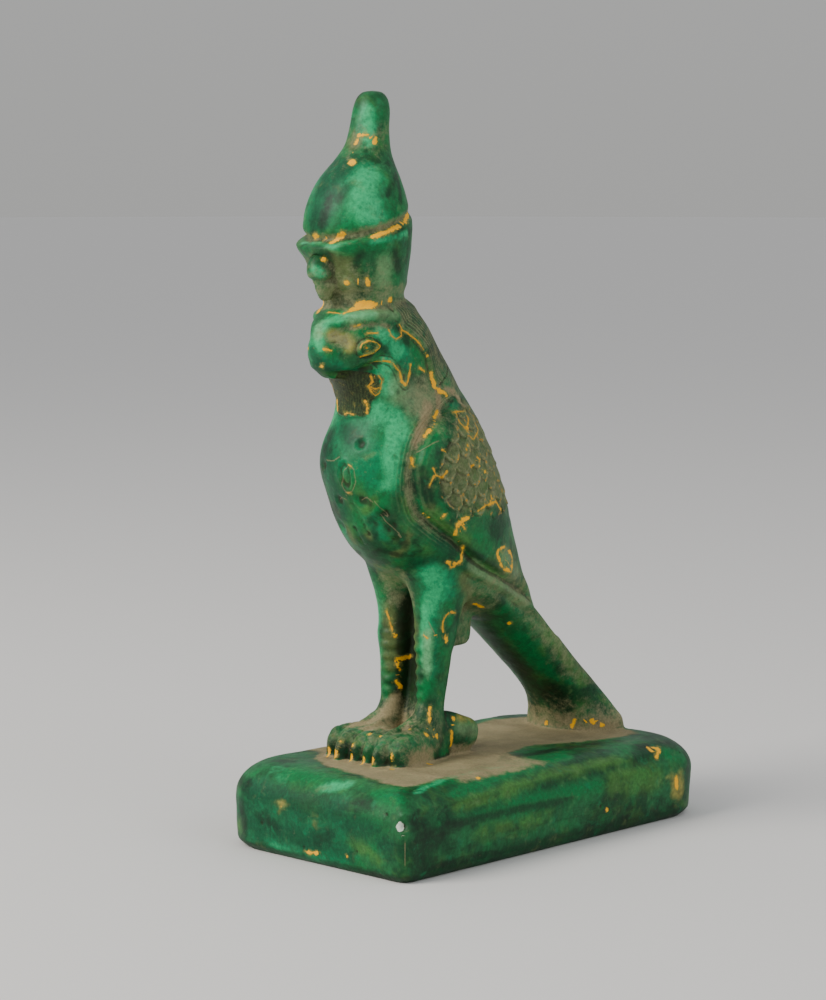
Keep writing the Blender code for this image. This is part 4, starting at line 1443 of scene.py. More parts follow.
@dataclass(frozen=True)
class Palette:
    """The colours of the casting, its dirt and painted shade, dust and worn gold."""

    deep: Colour = paint(14, 64, 34)
    middle: Colour = paint(26, 98, 54)
    moss: Colour = paint(70, 118, 48)
    emerald: Colour = paint(0, 108, 54)
    turquoise: Colour = paint(0, 114, 70)
    mint: Colour = paint(40, 174, 112)
    bottle: Colour = paint(12, 28, 16)
    olive: Colour = paint(86, 98, 54)
    bib: Colour = paint(58, 70, 38)
    grime_and_shade: Colour = paint(30, 32, 15)
    film: Colour = paint(128, 132, 96)
    sand: Colour = paint(142, 130, 97)
    rub: Colour = paint(150, 140, 66)
    gold: Colour = paint(255, 184, 0)
    ochre: Colour = paint(184, 132, 30)
    chip: Colour = paint(206, 216, 200)
    glaze_and_shade: Colour = paint(0, 66, 40)
    milk: Colour = paint(150, 172, 124)


CLOUD_INPUTS = ("Cell", "Seed", "Warp", "Grain")
# The clouds of the finish: width of a cell in millimetres, seed, how much they are stirred, and
# how strong the small clouds in the large ones are.
CLOUDS = {
    "body": (9.0, 0.0, 1.4, 0.5),
    "moss": (6.0, 17.0, 1.5, 0.5),
    "emerald": (7.0, 19.0, 1.5, 0.5),
    "bottle": (4.0, 23.0, 1.5, 0.5),
    "streaks": (2.6, 31.0, 0.9, 0.6),
    "stain edges": (3.4, 7.0, 1.2, 0.55),
    "dark veins": (2.2, 43.0, 1.6, 0.6),
    "blue veins": (2.6, 67.0, 1.6, 0.6),
    "speckle": (0.8, 13.0, 0.5, 0.7),
    "soil": (1.6, 21.0, 0.7, 0.6),
    "grit": (0.45, 29.0, 0.3, 0.7),
    "bib": (1.3, 97.0, 1.0, 0.7),
    "flecks": (1.1, 59.0, 0.6, 0.6),
    "dust tone": (7.0, 47.0, 1.0, 0.6),
    "strands": (5.0, 83.0, 0.6, 0.6),
    "wear": (1.3, 37.0, 0.8, 0.6),
    "crumbs": (0.5, 41.0, 0.6, 0.7),
    "halo": (0.9, 89.0, 0.8, 0.6),
    "gold tone": (0.7, 53.0, 0.5, 0.6),
    "gloss": (2.4, 61.0, 0.6, 0.6),
    "grain": (0.35, 71.0, 0.2, 0.7),
    "lumps": (1.6, 73.0, 0.6, 0.6),
}


class CastingFinish:
    """The mottled, waxy green material of the casting."""

    def __init__(self, palette: Palette) -> None:
        """Starts the material.

        Args:
            palette: Its colours.
        """
        self.palette = palette
        self.material = bpy.data.materials.new(SLOT)
        self.material.use_nodes = True
        self.graph = Graph(self.material.node_tree)
        self.shader = self.material.node_tree.nodes["Principled BSDF"]
        self.place = self.graph.node("TexCoord").outputs["Object"]
        self.clouds = cloud_group()

    def cloud(self, name: str, place: Socket | None = None) -> Socket:
        """Places the cloud group once.

        Args:
            name: Which of the finish's clouds.
            place: Where it reads, if not at the object's own coordinates.

        Returns:
            Its value.
        """
        made = self.graph.node("Group")
        made.node_tree = self.clouds
        values = dict(zip(CLOUD_INPUTS, CLOUDS[name]))
        place = self.place if place is None else place
        return self.graph.fill(made, Place=place, **values).outputs["Value"]

    def patch(self, name: str, noise: Socket, strength: float) -> Socket:
        """A stain's mask with a clouded edge.

        Args:
            name: The mesh mask that says where it is.
            noise: Clouds that break its edge.
            strength: How far it covers.

        Returns:
            How much of it there is.
        """
        graph = self.graph
        return graph.step(graph.stirred(graph.mask(name), noise, 1.3), 0.1, 0.95, strength)

    def laid(self, colour: object, over: Colour, noise: Socket, low: float, most: float) -> Socket:
        """Lays a colour over another where clouds rise above a level.

        Args:
            colour: The colour under it.
            over: The colour laid on.
            noise: The clouds.
            low: The level.
            most: How much it covers at most.

        Returns:
            The new colour.
        """
        return self.graph.mix(self.graph.step(noise, low, low + 0.18, most), colour, over)

    def body(self) -> Socket:
        """The clean casting: greens that run into one another, and the stains in them.

        Returns:
            The colour.
        """
        graph, hues = self.graph, self.palette
        edges = self.cloud("stain edges")
        colour = graph.mix(graph.step(self.cloud("body"), 0.4, 0.6), hues.deep, hues.middle)
        for over, noise, low, most in (
            (hues.moss, self.cloud("moss"), 0.52, 0.45),
            (hues.emerald, self.cloud("emerald"), 0.48, 0.8),
            (hues.bottle, self.cloud("bottle"), 0.56, 0.6),
            (hues.bottle, graph.times(graph.mask("streak"), self.streaks()), 0.5, 0.6),
        ):
            colour = self.laid(colour, over, noise, low, most)
        # The pale mint is partly painted highlight, and the dark and deep washes include painted
        # shade on the breast.
        for name, over, strength in (
            ("olive", hues.olive, 0.85),
            ("emerald", hues.emerald, 0.9),
            ("turquoise", hues.turquoise, 0.9),
            ("moss", hues.moss, 0.6),
            ("pale", hues.mint, 0.85),
            ("deep", hues.glaze_and_shade, 0.85),
            ("dark", hues.bottle, 0.68),
            ("milky", hues.milk, 0.34),
            ("ochre", hues.rub, 0.85),
        ):
            colour = graph.mix(self.patch(name, edges, strength), colour, over)
        colour = self.laid(colour, hues.deep, self.cloud("dark veins"), 0.53, 0.5)
        colour = self.laid(colour, hues.turquoise, self.cloud("blue veins"), 0.56, 0.5)
        return graph.scaled(colour, graph.stirred(1.0, self.cloud("speckle"), 1.7))

    def streaks(self) -> Socket:
        """Clouds drawn out along the plinth's long sides.

        Returns:
            Their value.
        """
        slope = self.graph.node("Mapping", self.place, vector_type="POINT")
        self.graph.fill(slope, Rotation=(math.radians(-4), 0, 0), Scale=(1.0, 0.16, 1.0))
        return self.cloud("streaks", slope.outputs[0])

    def rough_bib(self, colour: Socket, small: Socket, fine: Socket) -> Socket:
        """Lays the ribbed brown of the bib over a colour.

        Args:
            colour: The colour under it.
            small: Clouds that break its edge.
            fine: Clouds that roughen its ribs.

        Returns:
            The new colour.
        """
        graph, hues = self.graph, self.palette
        bib = graph.step(graph.stirred(graph.mask("bib"), small, 1.6), -0.1, 0.25)
        ribs = graph.times_plus(small, 12.0, graph.times(graph.mask("ribs"), 11.0))
        ribs = graph.times_plus(graph.math("SINE", ribs), 0.08, fine)
        rough = graph.mix(graph.step(ribs, 0.3, 0.7), hues.grime_and_shade, hues.bib)
        rough = self.laid(rough, hues.rub, self.cloud("bib"), 0.54, 0.45)
        return graph.mix(graph.times(bib, 0.92), colour, rough)

    def soil(self, colour: Socket) -> tuple[Socket, Socket]:
        """Lays dirt and painted shade in hollows, old film on the rims and dust over it all.

        Args:
            colour: The colour under it.

        Returns:
            The soiled colour and how dusty it is.
        """
        graph, hues = self.graph, self.palette
        small, fine = self.cloud("soil"), self.cloud("grit")
        colour = self.rough_bib(colour, small, fine)
        # The fine lines get a painted highlight on their crests, in the film's colour, and painted
        # shade in their troughs.
        wave, lines = self.strands(), graph.mask("strand_mask")
        broken = graph.times(graph.step(wave, 0.1, 0.8), graph.step(small, 0.3, 0.6))
        light = graph.times(graph.times(broken, lines), 0.95)
        shadow = graph.times(graph.times(graph.step(wave, 0.0, -0.6), lines), 0.8)
        colour = graph.mix(shadow, colour, hues.bottle)
        plume, hollow = graph.mask("plume"), graph.mask("hollow")
        # Painted shadow in the clefts under the scale feathers' rims.
        colour = graph.mix(graph.step(plume, 0.1, 0.6, 0.95), colour, hues.grime_and_shade)
        # Dark in the hollows: partly dirt, partly painted shade in the recesses and between the legs.
        grime_and_shade_amount = graph.step(graph.stirred(hollow, small, 1.2), 0.25, 1.1, 0.75)
        colour = graph.mix(grime_and_shade_amount, colour, hues.grime_and_shade)
        flecks, on_rim = self.cloud("flecks"), graph.step(plume, -0.2, -0.9)
        film = graph.times(on_rim, graph.step(flecks, 0.35, 0.6))
        film = graph.times_plus(film, 0.5, graph.mask("film"))
        film = graph.times_plus(graph.math("MAXIMUM", plume, 0.0), -1.3, film)
        film = graph.stirred(graph.stirred(film, small, 1.4), fine, 0.8)
        filmed = graph.math("MAXIMUM", graph.step(film, 0.15, 1.0, 0.85), light)
        tone = graph.stirred(1.0, fine, 0.9)
        colour = graph.mix(filmed, colour, graph.scaled(hues.film, tone))
        dust = graph.stirred(graph.stirred(graph.mask("dust"), small, 1.1), fine, 0.6)
        dusty = graph.step(dust, 0.2, 0.95, 0.95)
        tone = graph.stirred(tone, self.cloud("dust tone"), 1.1)
        colour = graph.mix(dusty, colour, graph.scaled(hues.sand, tone))
        # Raised edges turn light mint: partly wear, partly a painted highlight along the edges.
        worn = graph.step(graph.times(hollow, -1.0), 0.3, 1.0, 0.16)
        colour = graph.mix(worn, colour, hues.mint)
        rubbed = graph.times(on_rim, graph.step(flecks, 0.56, 0.62))
        colour = graph.mix(graph.times(rubbed, 0.8), colour, hues.ochre)
        return colour, graph.math("MAXIMUM", filmed, dusty)

    def strands(self) -> Socket:
        """The wave of the fine lines on the nape and on the wings' back edge.

        Returns:
            The wave, from -1 to 1.
        """
        stir = self.graph.times(self.cloud("strands"), 9.0)
        wave = self.graph.times_plus(self.graph.mask("strand"), 7.4, stir)
        return self.graph.math("SINE", wave)

    def away(self, name: str) -> Socket:
        """How far off the line of the nearest stroke is."""
        gap = self.graph.length(self.graph.attribute(f"{name}_offset").outputs["Vector"])
        return self.graph.math("MAXIMUM", gap, self.graph.mask(f"{name}_far"))

    def flake(self, name: str, wear: float) -> Socket:
        """The mask of strokes whose paint has flaked.

        Args:
            name: The marks, as the masks of the mesh name them.
            wear: How unevenly it has worn.

        Returns:
            1 on the paint.
        """
        graph = self.graph
        width = graph.mask(f"{name}_width")
        swell = graph.stirred(0.95, self.cloud("wear"), graph.step(width, 0.65, 0.3, wear))
        reach = graph.times(width, graph.math("MAXIMUM", swell, 0.0))
        ragged = graph.times_plus(graph.step(width, 0.1, 0.4), 0.7, 0.26)
        rough = graph.times(graph.math("SUBTRACT", self.cloud("crumbs"), 0.5), ragged)
        gap = graph.math("SUBTRACT", graph.math("ADD", rough, self.away(name)), reach)
        return graph.math("SUBTRACT", 1.0, graph.step(gap, -0.07, 0.07))

    def gilded(self, colour: Socket, gold: Socket) -> Socket:
        """Lays the gold with the dull rub round it, and the chips and one painted highlight, over a
        colour.

        Args:
            colour: The colour under them.
            gold: Where the gold is.

        Returns:
            The new colour.
        """
        graph, hues = self.graph, self.palette
        width = graph.mask("gold_width")
        halo = graph.math("SUBTRACT", self.away("gold"), width)
        halo = graph.stirred(halo, self.cloud("halo"), 2.2)
        colour = graph.mix(graph.step(halo, 0.5, -0.3, 0.55), colour, hues.rub)
        tone = graph.step(self.cloud("gold tone"), 0.5, 0.8)
        tone = graph.math("MAXIMUM", tone, graph.step(width, 0.36, 0.14))
        colour = graph.mix(gold, colour, graph.mix(graph.times(tone, 0.65), hues.gold, hues.ochre))
        large = graph.step(graph.mask("chip_width"), 0.2, 0.6)
        chip = graph.times(self.flake("chip", 2.5), graph.times_plus(large, 0.5, 0.45))
        return graph.mix(chip, colour, graph.mix(large, hues.sand, hues.chip))

    def build(self) -> bpy.types.Material:
        """Wires the whole material.

        Returns:
            The finished material.
        """
        graph = self.graph
        colour, dust = self.soil(self.body())
        gold = self.flake("gold", 5.0)
        rough = graph.times_plus(self.cloud("gloss"), 0.35, 0.3)
        rough = graph.math("MAXIMUM", graph.times_plus(dust, 0.4, rough), graph.times(gold, 0.55))
        height = graph.times_plus(self.cloud("grain"), 0.35, self.cloud("lumps"))
        lines = graph.times(self.strands(), graph.mask("strand_mask"))
        height = graph.times_plus(gold, 0.25, graph.times_plus(lines, 2.0, height))
        relief = graph.fill(graph.node("Bump"), Strength=1.0, Distance=0.08 * MM, Height=height)
        graph.fill(
            self.shader,
            Base_Color=self.gilded(colour, gold),
            Roughness=rough,
            Specular_IOR_Level=0.22,
            Subsurface_Weight=0.1,
            Subsurface_Radius=(0.5, 1.0, 0.7),
            Subsurface_Scale=1.2 * MM,
            Normal=relief.outputs["Normal"],
        )
        return self.material


@dataclass
class Painter:
    """Works out, at every point of the finished mesh, the masks that the finish reads."""

    carving: Carving
    places: Array
    normals: Array
    edges: Array
    stroke_reach: float = 3.0
    stroke_room: float = 1.6

    def smoothed(self, values: Array, steps: int, spread: float) -> Array:
        """Values as they average out over the surface.

        Args:
            values: Three numbers a point.
            steps: How many times they are averaged.
            spread: How far each time, in square millimetres.

        Returns:
            The averaged values.
        """
        a, b = self.edges.T
        count = len(self.places)
        number = np.maximum(np.bincount(a, minlength=count) + np.bincount(b, minlength=count), 1)
        square = ((self.places[a] - self.places[b]) ** 2).sum(1)
        spacing = np.bincount(a, square, count) + np.bincount(b, square, count)
        share = np.clip(spread / np.maximum(spacing / number, 1e-6), 0, 0.9)[:, None]
        moved = values.copy()
        for _ in range(steps):
            total = np.stack(
                [
                    np.bincount(a, moved[b, k], count) + np.bincount(b, moved[a, k], count)
                    for k in range(3)
                ],
                1,
            )
            moved += share * (total / number[:, None] - moved)
        return moved

    def hollow(self) -> Array:
        """How hollow the surface is, negative where it stands out.

        Returns:
            The depth at each point, about 1 in a deep groove.
        """
        fine = ((self.smoothed(self.places, 8, 0.06) - self.places) * self.normals).sum(1)
        broad = ((self.smoothed(self.places, 60, 0.08) - self.places) * self.normals).sum(1)
        x, y, z = self.places.T
        # The mask is raised between the legs, for the painted shade there.
        between = window(z, 20, 26, 46, 50) * window(y, -15, -12.5, -6, -3)
        between *= rise(np.abs(x), 4.4, 2.4)
        depth = np.clip(fine / 0.07, -1, 1) * 0.6 + np.clip(broad / 0.35, -1, 1) * 0.6
        return np.maximum(depth, 1.15 * between)

    def longest(self) -> Array:
        """The longest edge at each point, in millimetres.

        Returns:
            One length a point.
        """
        first, second = self.places[self.edges.T]
        spans = np.linalg.norm(first - second, axis=1)
        longest = np.zeros(len(self.places))
        for end in (0, 1):
            np.maximum.at(longest, self.edges[:, end], spans)
        return longest

    def strokes(self, marks: tuple) -> tuple[Array, Array, Array]:
        """Where the nearest stroke is.

        Args:
            marks: The strokes.

        Returns:
            The offset to its line along the surface, its radius, and how far off it is at least
            from all of the surface between a point and its neighbours.
        """
        reach = self.stroke_reach
        best = np.full(len(self.places), reach)
        offset = np.zeros((len(self.places), 3))
        offset[:, 0] = reach
        width = np.zeros(len(self.places))
        facing = self.smoothed(self.normals, 24, 0.08)
        facing /= np.linalg.norm(facing, axis=1)[:, None]
        for mark in marks:
            for start, end in mark.spans():
                low = np.minimum(start, end) - reach - mark.radius
                high = np.maximum(start, end) + reach + mark.radius
                near = np.flatnonzero(((self.places > low) & (self.places < high)).all(1))
                run = end - start
                away = self.places[near] - start
                share = np.clip(away @ run / max(run @ run, 1e-9), 0, 1)[:, None]
                away = away - share * run
                lift = (away * facing[near]).sum(1)[:, None]
                away -= lift * facing[near]
                away *= 1 + 4 * np.maximum(np.abs(lift) - 0.7 - 0.4 * mark.radius, 0)
                gap = np.sqrt((away**2).sum(1) + 0.15 * lift[:, 0] ** 2) - mark.radius
                better = gap < best[near]
                chosen = near[better]
                best[chosen] = gap[better]
                offset[chosen] = away[better]
                width[chosen] = mark.radius
        far = np.linalg.norm(offset, axis=1) - 1.2 * self.longest() - 0.1
        width[best > self.stroke_room] = -reach
        return offset, width, np.maximum(far, 0.0)

    def stain(self, kind: Stain) -> Array:
        """How strong one kind of stain is.

        Args:
            kind: The stain.

        Returns:
            The amount at each point.
        """
        # The breast's shade washes add painted shade to the dark and deep masks.
        patches = [
            Patch(radius, tuple(points), both_sides)
            for table, both_sides in ((WASHES, True), (BREAST_SHADE_WASHES, False))
            for radius, *points in table.get(kind, ())
        ]
        return np.maximum.reduce([patch.amount(self.places) for patch in patches])

    def dust(self) -> Array:
        """Sandy dust on the plinth's top, the feet and the tail's foot.

        Returns:
            The amount at each point.
        """
        x, y, z = self.places.T
        side, up = np.abs(x), rise(self.normals[:, 2], 0.3, 0.8)
        ring = rise(self.carving.dust_ring.depth(x, y), -1.2, 1.6)
        parts = {
            "plinth top": 1.15 * window(z, 15.0, 15.6, 16.6, 17.4) * up * ring,
            "outer side of the feet": 0.85
            * rise(side, 8.4, 9.8)
            * window(y, -25.5, -22.5, -6, -3.5)
            * window(z, 15.2, 16.2, 18.5, 21.5),
            "insteps": 0.7
            * window(z, 19, 20.5, 22, 27)
            * window(y, -23, -19.5, -13, -9)
            * rise(x, 4.2, 1.5),
            "rear toes": 0.75 * window(z, 15.2, 16.2, 17.4, 19.6) * window(y, -9.5, -7.5, 0, 4),
            "tail foot": 0.72
            * rise(z, 25.0, 16.4)
            * rise(z, 15.5, 16.5)
            * rise(y, 22, 25)
            * rise(side, 14, 11),
            "painted": self.stain(Stain.DUST),
        }
        return np.maximum.reduce(list(parts.values()))

    def film(self) -> Array:
        """The greyish film of old dirt in the grooves and on the back.

        Returns:
            The amount at each point.
        """
        x, y, z = self.places.T
        side, carving = np.abs(x), self.carving
        wing, wig = carving.wing_edge.distance(y, z), carving.wig_edge.distance(y, z)
        rim, brow = carving.above_rim(y, z), carving.under_brow.distance(y, z)
        upper, wing_side = rise(z, 57, 66), rise(side, 5, 8)
        groove = wing_side * rise(z, 40, 46) * bump(wing, -1.2, 0.55 + 0.5 * upper)
        shoulder = np.hypot(y + 18.0, (z - 86.5) * 0.75)
        lore = np.hypot((y - carving.lore[0]) / 3.4, (z - carving.lore[1]) / 2.2)
        parts = {
            "wing groove": (0.3 + 0.42 * upper) * groove,
            "tail foot": 0.5 * rise(z, 28, 18) * rise(y, 18, 23) * rise(z, 16, 18),
            "plumage": 0.42 * self.plumage(),
            "nape": 0.5 * rise(wig, -1.0, 0.6) * window(z, 84, 88, 104, 106) * rise(y, -28, -24),
            "shoulder": 0.8 * bump(shoulder, 0, 4.6) * wing_side,
            "back": 0.52 * rise(y + 0.55 * z, 39.5, 45.5) * window(z, 36, 42, 80, 86),
            "low back": 0.5 * rise(y + 1.05 * z, 52, 57) * window(z, 22, 28, 50, 58),
            "crown foot": 0.6 * window(z, 103.2, 104.2, 107.5, 110.5) * rise(y, -36.5, -33),
            "low crown": 0.5 * window(z, 103, 105, 108, 116) * rise(y, -26.5, -30),
            "cobra": 0.62 * window(z, 103.5, 105, 107.5, 109.8) * rise(y, -33, -35),
            "rim": 0.75 * bump(rim, 1.0, 1.0) * rise(z, 112, 114),
            "crown neck": 0.35 * bump(rim, 16, 4),
            "lore": 0.75 * bump(lore, 0, 0.9) * rise(side, 1, 2.5),
            "under the brow": 0.7 * bump(brow, 0, 0.8) * rise(side, 1.5, 3),
            "web": 0.5 * window(y, -8, -5.5, 2, 6) * window(z, 34, 36, 50, 54),
            "seam": 0.6 * window(z, 44, 47, 52, 57) * rise(y, -11, -14) * rise(side, 5.5, 3),
            "ankle": 0.4 * window(z, 17, 20, 25, 30) * rise(y, -8, -12),
        }
        return np.maximum.reduce(list(parts.values()))

    def bib(self) -> Array:
        """How far inside the rough bib under the jaw points are.

        Returns:
            Millimetres, negative outside.
        """
        x, y, z = self.places.T
        depth = self.carving.bib.depth(np.abs(x), z) - 3 * rise(z, 91.6, 92.8)
        return np.where((y < -22) & (y > -34) & (z > 82) & (z < 94.5), np.clip(depth, -3, 3), -3.0)

    def streak(self) -> Array:
        """Where the plinth is streaked lengthwise."""
        z = self.places[:, 2]
        return rise(np.abs(self.normals[:, 0]), 0.75, 0.95) * rise(z, 16, 14.5)

    def strand(self) -> tuple[Array, Array]:
        """The striations of the nape and of the wings' back edge.

        Returns:
            Their running coordinate in millimetres, and where they are.
        """
        x, y, z = self.places.T
        side = np.abs(x)
        wig = self.carving.wig_edge.distance(y, z)
        along = wig + (9.5 - side) * 0.8
        on_nape = rise(wig, 0.4, 1.2) * window(z, 87, 90, 104.5, 106)
        on_back = rise(y + 0.5 * z, 36.0, 40.5) * window(z, 44, 52, 83, 87)
        along = np.where(on_nape > on_back, along, y + 0.42 * z + (12 - side) * 0.6)
        wing = self.carving.wing_edge.distance(y, z)
        groove = bump(wing, -1.2, 1.6) * rise(side, 5, 8) * rise(z, 56, 62)
        along = np.where(groove > 0.02, wing * 1.2, along)
        shoulder = bump(np.hypot(y + 11.5, z - 88.6), 0, 3.6)
        where = np.maximum(on_nape * (1 - shoulder), on_back * 0.75)
        return along, np.maximum.reduce([where, 0.45 * groove, 0.1 * self.plumage()])

    def plumage(self) -> Array:
        """The dull field of the wing that the scale feathers are in.

        Returns:
            The amount at each point.
        """
        x, y, z = self.places.T
        wing = self.carving.wing_edge.distance(y, z)
        start = wing + 2.4 * rise(y, -17.5, -12.5)
        return rise(start, 2.6, 5.0) * rise(np.abs(x), 8, 9.5) * window(z, 61, 68, 85, 88)

    def toe_fronts(self) -> Array:
        """The dark fronts of the toes."""
        y, z = self.places[:, 1], self.places[:, 2]
        return 0.8 * rise(y, -23.6, -25.6) * window(z, 16.7, 17.2, 19.0, 20.6)

    def plume(self) -> Array:
        """The clefts between the scale feathers, 1, and their rims, -1."""
        x, y, z = self.places.T
        return self.carving.feather_relief(np.abs(x), y, z)[1]

    def masks(self) -> dict[str, Array]:
        """All the masks by name.

        Returns:
            One value or one vector a point for each name.
        """
        strand, strand_mask = self.strand()
        masks = {
            "hollow": self.hollow(),
            "dust": self.dust(),
            "film": self.film(),
            "bib": self.bib(),
            "ribs": self.places[:, 0] - 0.25 * self.places[:, 2],
            "streak": self.streak(),
            "plume": self.plume(),
            "strand": strand,
            "strand_mask": strand_mask,
        }
        for name, marks in (("gold", GOLD), ("chip", CHIPS_AND_HIGHLIGHT)):
            for part, values in zip(("offset", "width", "far"), self.strokes(marks)):
                masks[f"{name}_{part}"] = values
        for kind in Stain:
            if kind is not Stain.DUST:
                masks[kind.name.lower()] = self.stain(kind)
        masks["olive"] = np.maximum(masks["olive"], 0.75 * self.plumage())
        z = self.places[:, 2]
        foot = 0.85 * rise(z, 2.6, 0.9) * rise(z, 16, 14)
        masks["dark"] = np.maximum.reduce([masks["dark"], foot, self.toe_fronts()])
        return masks


@dataclass
class Casting:
    """The whole statuette as one mesh with the masks that its finish reads."""

    grid: float = 0.36
    blend_steps: int = 7
    body_blend_steps: int = 105
    kept: tuple[tuple[str, float], ...] = (
        ("plinth", 0.05),
        ("marks", 0.45),
        ("tail", 0.20),
        ("bird", 0.32),
        ("face", 0.36),
        ("feathers", 0.21),
        ("toes", 0.38),
    )
    falcon: Falcon = field(default_factory=Falcon)
    plinth: Plinth = field(default_factory=Plinth)
    carving: Carving = field(default_factory=Carving)

    def one_skin(self) -> Object:
        """Joins all the forms and lets them flow into one another.

        Returns:
            The uncarved casting.
        """
        forms = [form.build() for form in self.falcon.forms()]
        forms.append(self.plinth.build())
        bpy.ops.object.select_all(action="DESELECT")
        for form in forms:
            form.select_set(True)
        casting = forms[0]
        bpy.context.view_layer.objects.active = casting
        bpy.ops.object.join()
        casting.name = casting.data.name = "falcon_casting"
        apply_modifier(casting, "REMESH", mode="VOXEL", voxel_size=self.grid * MM)
        z = read_points(casting)[:, 2]
        weights = np.clip((z - 38) / 8, 0, 1) * np.clip((91 - z) / 5, 0, 1)
        group = casting.vertex_groups.new(name="body")
        shares = 8
        for share in range(1, shares + 1):
            chosen = np.flatnonzero(np.ceil(weights * shares) == share)
            group.add(chosen.tolist(), share / shares, "REPLACE")
        apply_modifier(casting, "SMOOTH", factor=0.5, iterations=self.blend_steps)
        steps = self.body_blend_steps
        apply_modifier(casting, "SMOOTH", factor=0.5, iterations=steps, vertex_group="body")
        casting.vertex_groups.clear()
        return casting

    def zones(self, places: Array) -> dict[str, Array]:
        """Sorts points by how fine their carving is.

        Args:
            places: The points in millimetres.

        Returns:
            For each zone, which points are in it.
        """
        x, y, z = places.T
        side = np.abs(x)
        face = (z > 87) & (z < 104.5) & (side > 1.2)
        bib = (z > 83) & (z <= 95) & (y < -24)
        wing = self.carving.wing_edge.distance(y, z) > -0.5
        feathers = (z > 60) & (z < 88) & (side > 8) & wing
        toes = (z > 15.8) & (z < 24) & (y < -16) & (y > -30) & (side < 13)
        fine = face | bib | feathers | toes
        block = (z < 15.2) | ((z < 17.2) & ~toes & ((y > 0) | (y < -29) | (side > 13)))
        marks = block & near_marks(places)
        return {
            "face": face | bib,
            "feathers": feathers,
            "toes": toes,
            "plinth": block & ~fine & ~marks,
            "marks": marks & ~fine,
            "tail": (z < 46) & (y > 3) & ~block & ~fine,
            "bird": ~block & ~fine & ((z >= 46) | (y <= 3)),
        }

    def select(self, casting: Object, chosen: Array) -> None:
        """Selects the faces whose first corner is chosen and enters edit mode.

        Args:
            casting: The mesh.
            chosen: Which of its points count.
        """
        mesh = casting.data
        corners = np.empty(len(mesh.loops), np.int32)
        mesh.loops.foreach_get("vertex_index", corners)
        starts = np.empty(len(mesh.polygons), np.int32)
        mesh.polygons.foreach_get("loop_start", starts)
        alone(casting)
        mesh.vertices.foreach_set("select", np.zeros(len(mesh.vertices), bool))
        mesh.edges.foreach_set("select", np.zeros(len(mesh.edges), bool))
        mesh.polygons.foreach_set("select", chosen[corners[starts]])
        bpy.ops.object.mode_set(mode="EDIT")
        bpy.ops.mesh.select_mode(type="FACE")

    def refine(self, casting: Object) -> None:
        """Divides the faces where the carving is too fine for the grid.

        Args:
            casting: The mesh.
        """
        zones = self.zones(read_points(casting))
        self.select(casting, zones["face"] | zones["feathers"] | zones["toes"])
        bpy.ops.mesh.subdivide(number_cuts=1)
        bpy.ops.mesh.select_mode(type="VERT")
        bpy.ops.object.mode_set(mode="OBJECT")

    def carve(self, casting: Object) -> None:
        """Carves the relief into the skin.

        Args:
            casting: The mesh.
        """
        places = read_points(casting)
        normals = self.normals(casting)
        depth = self.carving.depth(places)
        depth[places[:, 2] < 0.3] = 0
        write_points(casting, places + normals * depth[:, None])

    def normals(self, casting: Object) -> Array:
        """The directions in which the points of a mesh face.

        Args:
            casting: The mesh.

        Returns:
            One direction a row.
        """
        normals = np.empty(len(casting.data.vertices) * 3)
        casting.data.vertex_normals.foreach_get("vector", normals)
        return normals.reshape(-1, 3)

    def thin(self, casting: Object) -> None:
        """Takes out triangles, zone by zone, most of them where the surface is plain.

        Args:
            casting: The mesh.
        """
        for zone, share in self.kept:
            places = read_points(casting)
            self.select(casting, self.zones(places)[zone])
            bpy.ops.mesh.decimate(ratio=share)
            bpy.ops.mesh.select_mode(type="VERT")
            bpy.ops.object.mode_set(mode="OBJECT")
            log.info("%s thinned: %d faces", zone, len(casting.data.polygons))
        apply_modifier(casting, "TRIANGULATE")

    def settle(self, casting: Object) -> None:
        """Flattens the underside and keeps the mesh inside the box of the solid.

        Args:
            casting: The mesh.
        """
        places = read_points(casting)
        places[places[:, 2] < 0.2, 2] = 0.0
        places[:, :2] += FALCON_PLACE
        low, high = (np.array(corner) / MM for corner in CAD_BOX)
        write_points(casting, np.clip(places, low, high))

    def dress(self, casting: Object) -> None:
        """Gives the mesh its masks and its material.

        Args:
            casting: The mesh.
        """
        mesh = casting.data
        edges = np.empty(len(mesh.edges) * 2, np.int32)
        mesh.edges.foreach_get("vertices", edges)
        places, normals = read_points(casting), self.normals(casting)
        painter = Painter(self.carving, places, normals, edges.reshape(-1, 2))
        for name, values in painter.masks().items():
            kind, part = (("FLOAT", "value"), ("FLOAT_VECTOR", "vector"))[values.ndim - 1]
            mesh.attributes.new(name, kind, "POINT").data.foreach_set(part, values.ravel())
        mesh.materials.clear()
        mesh.materials.append(CastingFinish(Palette()).build())

    def build(self) -> Object:
        """Builds the mesh.

        Returns:
            The finished object, at the origin.
        """
        casting = self.one_skin()
        log.info("one skin: %d faces", len(casting.data.polygons))
        self.refine(casting)
        log.info("refined: %d faces", len(casting.data.polygons))
        self.carve(casting)
        self.thin(casting)
        self.dress(casting)
        self.settle(casting)
        alone(casting)
        bpy.ops.object.shade_smooth()
        return casting


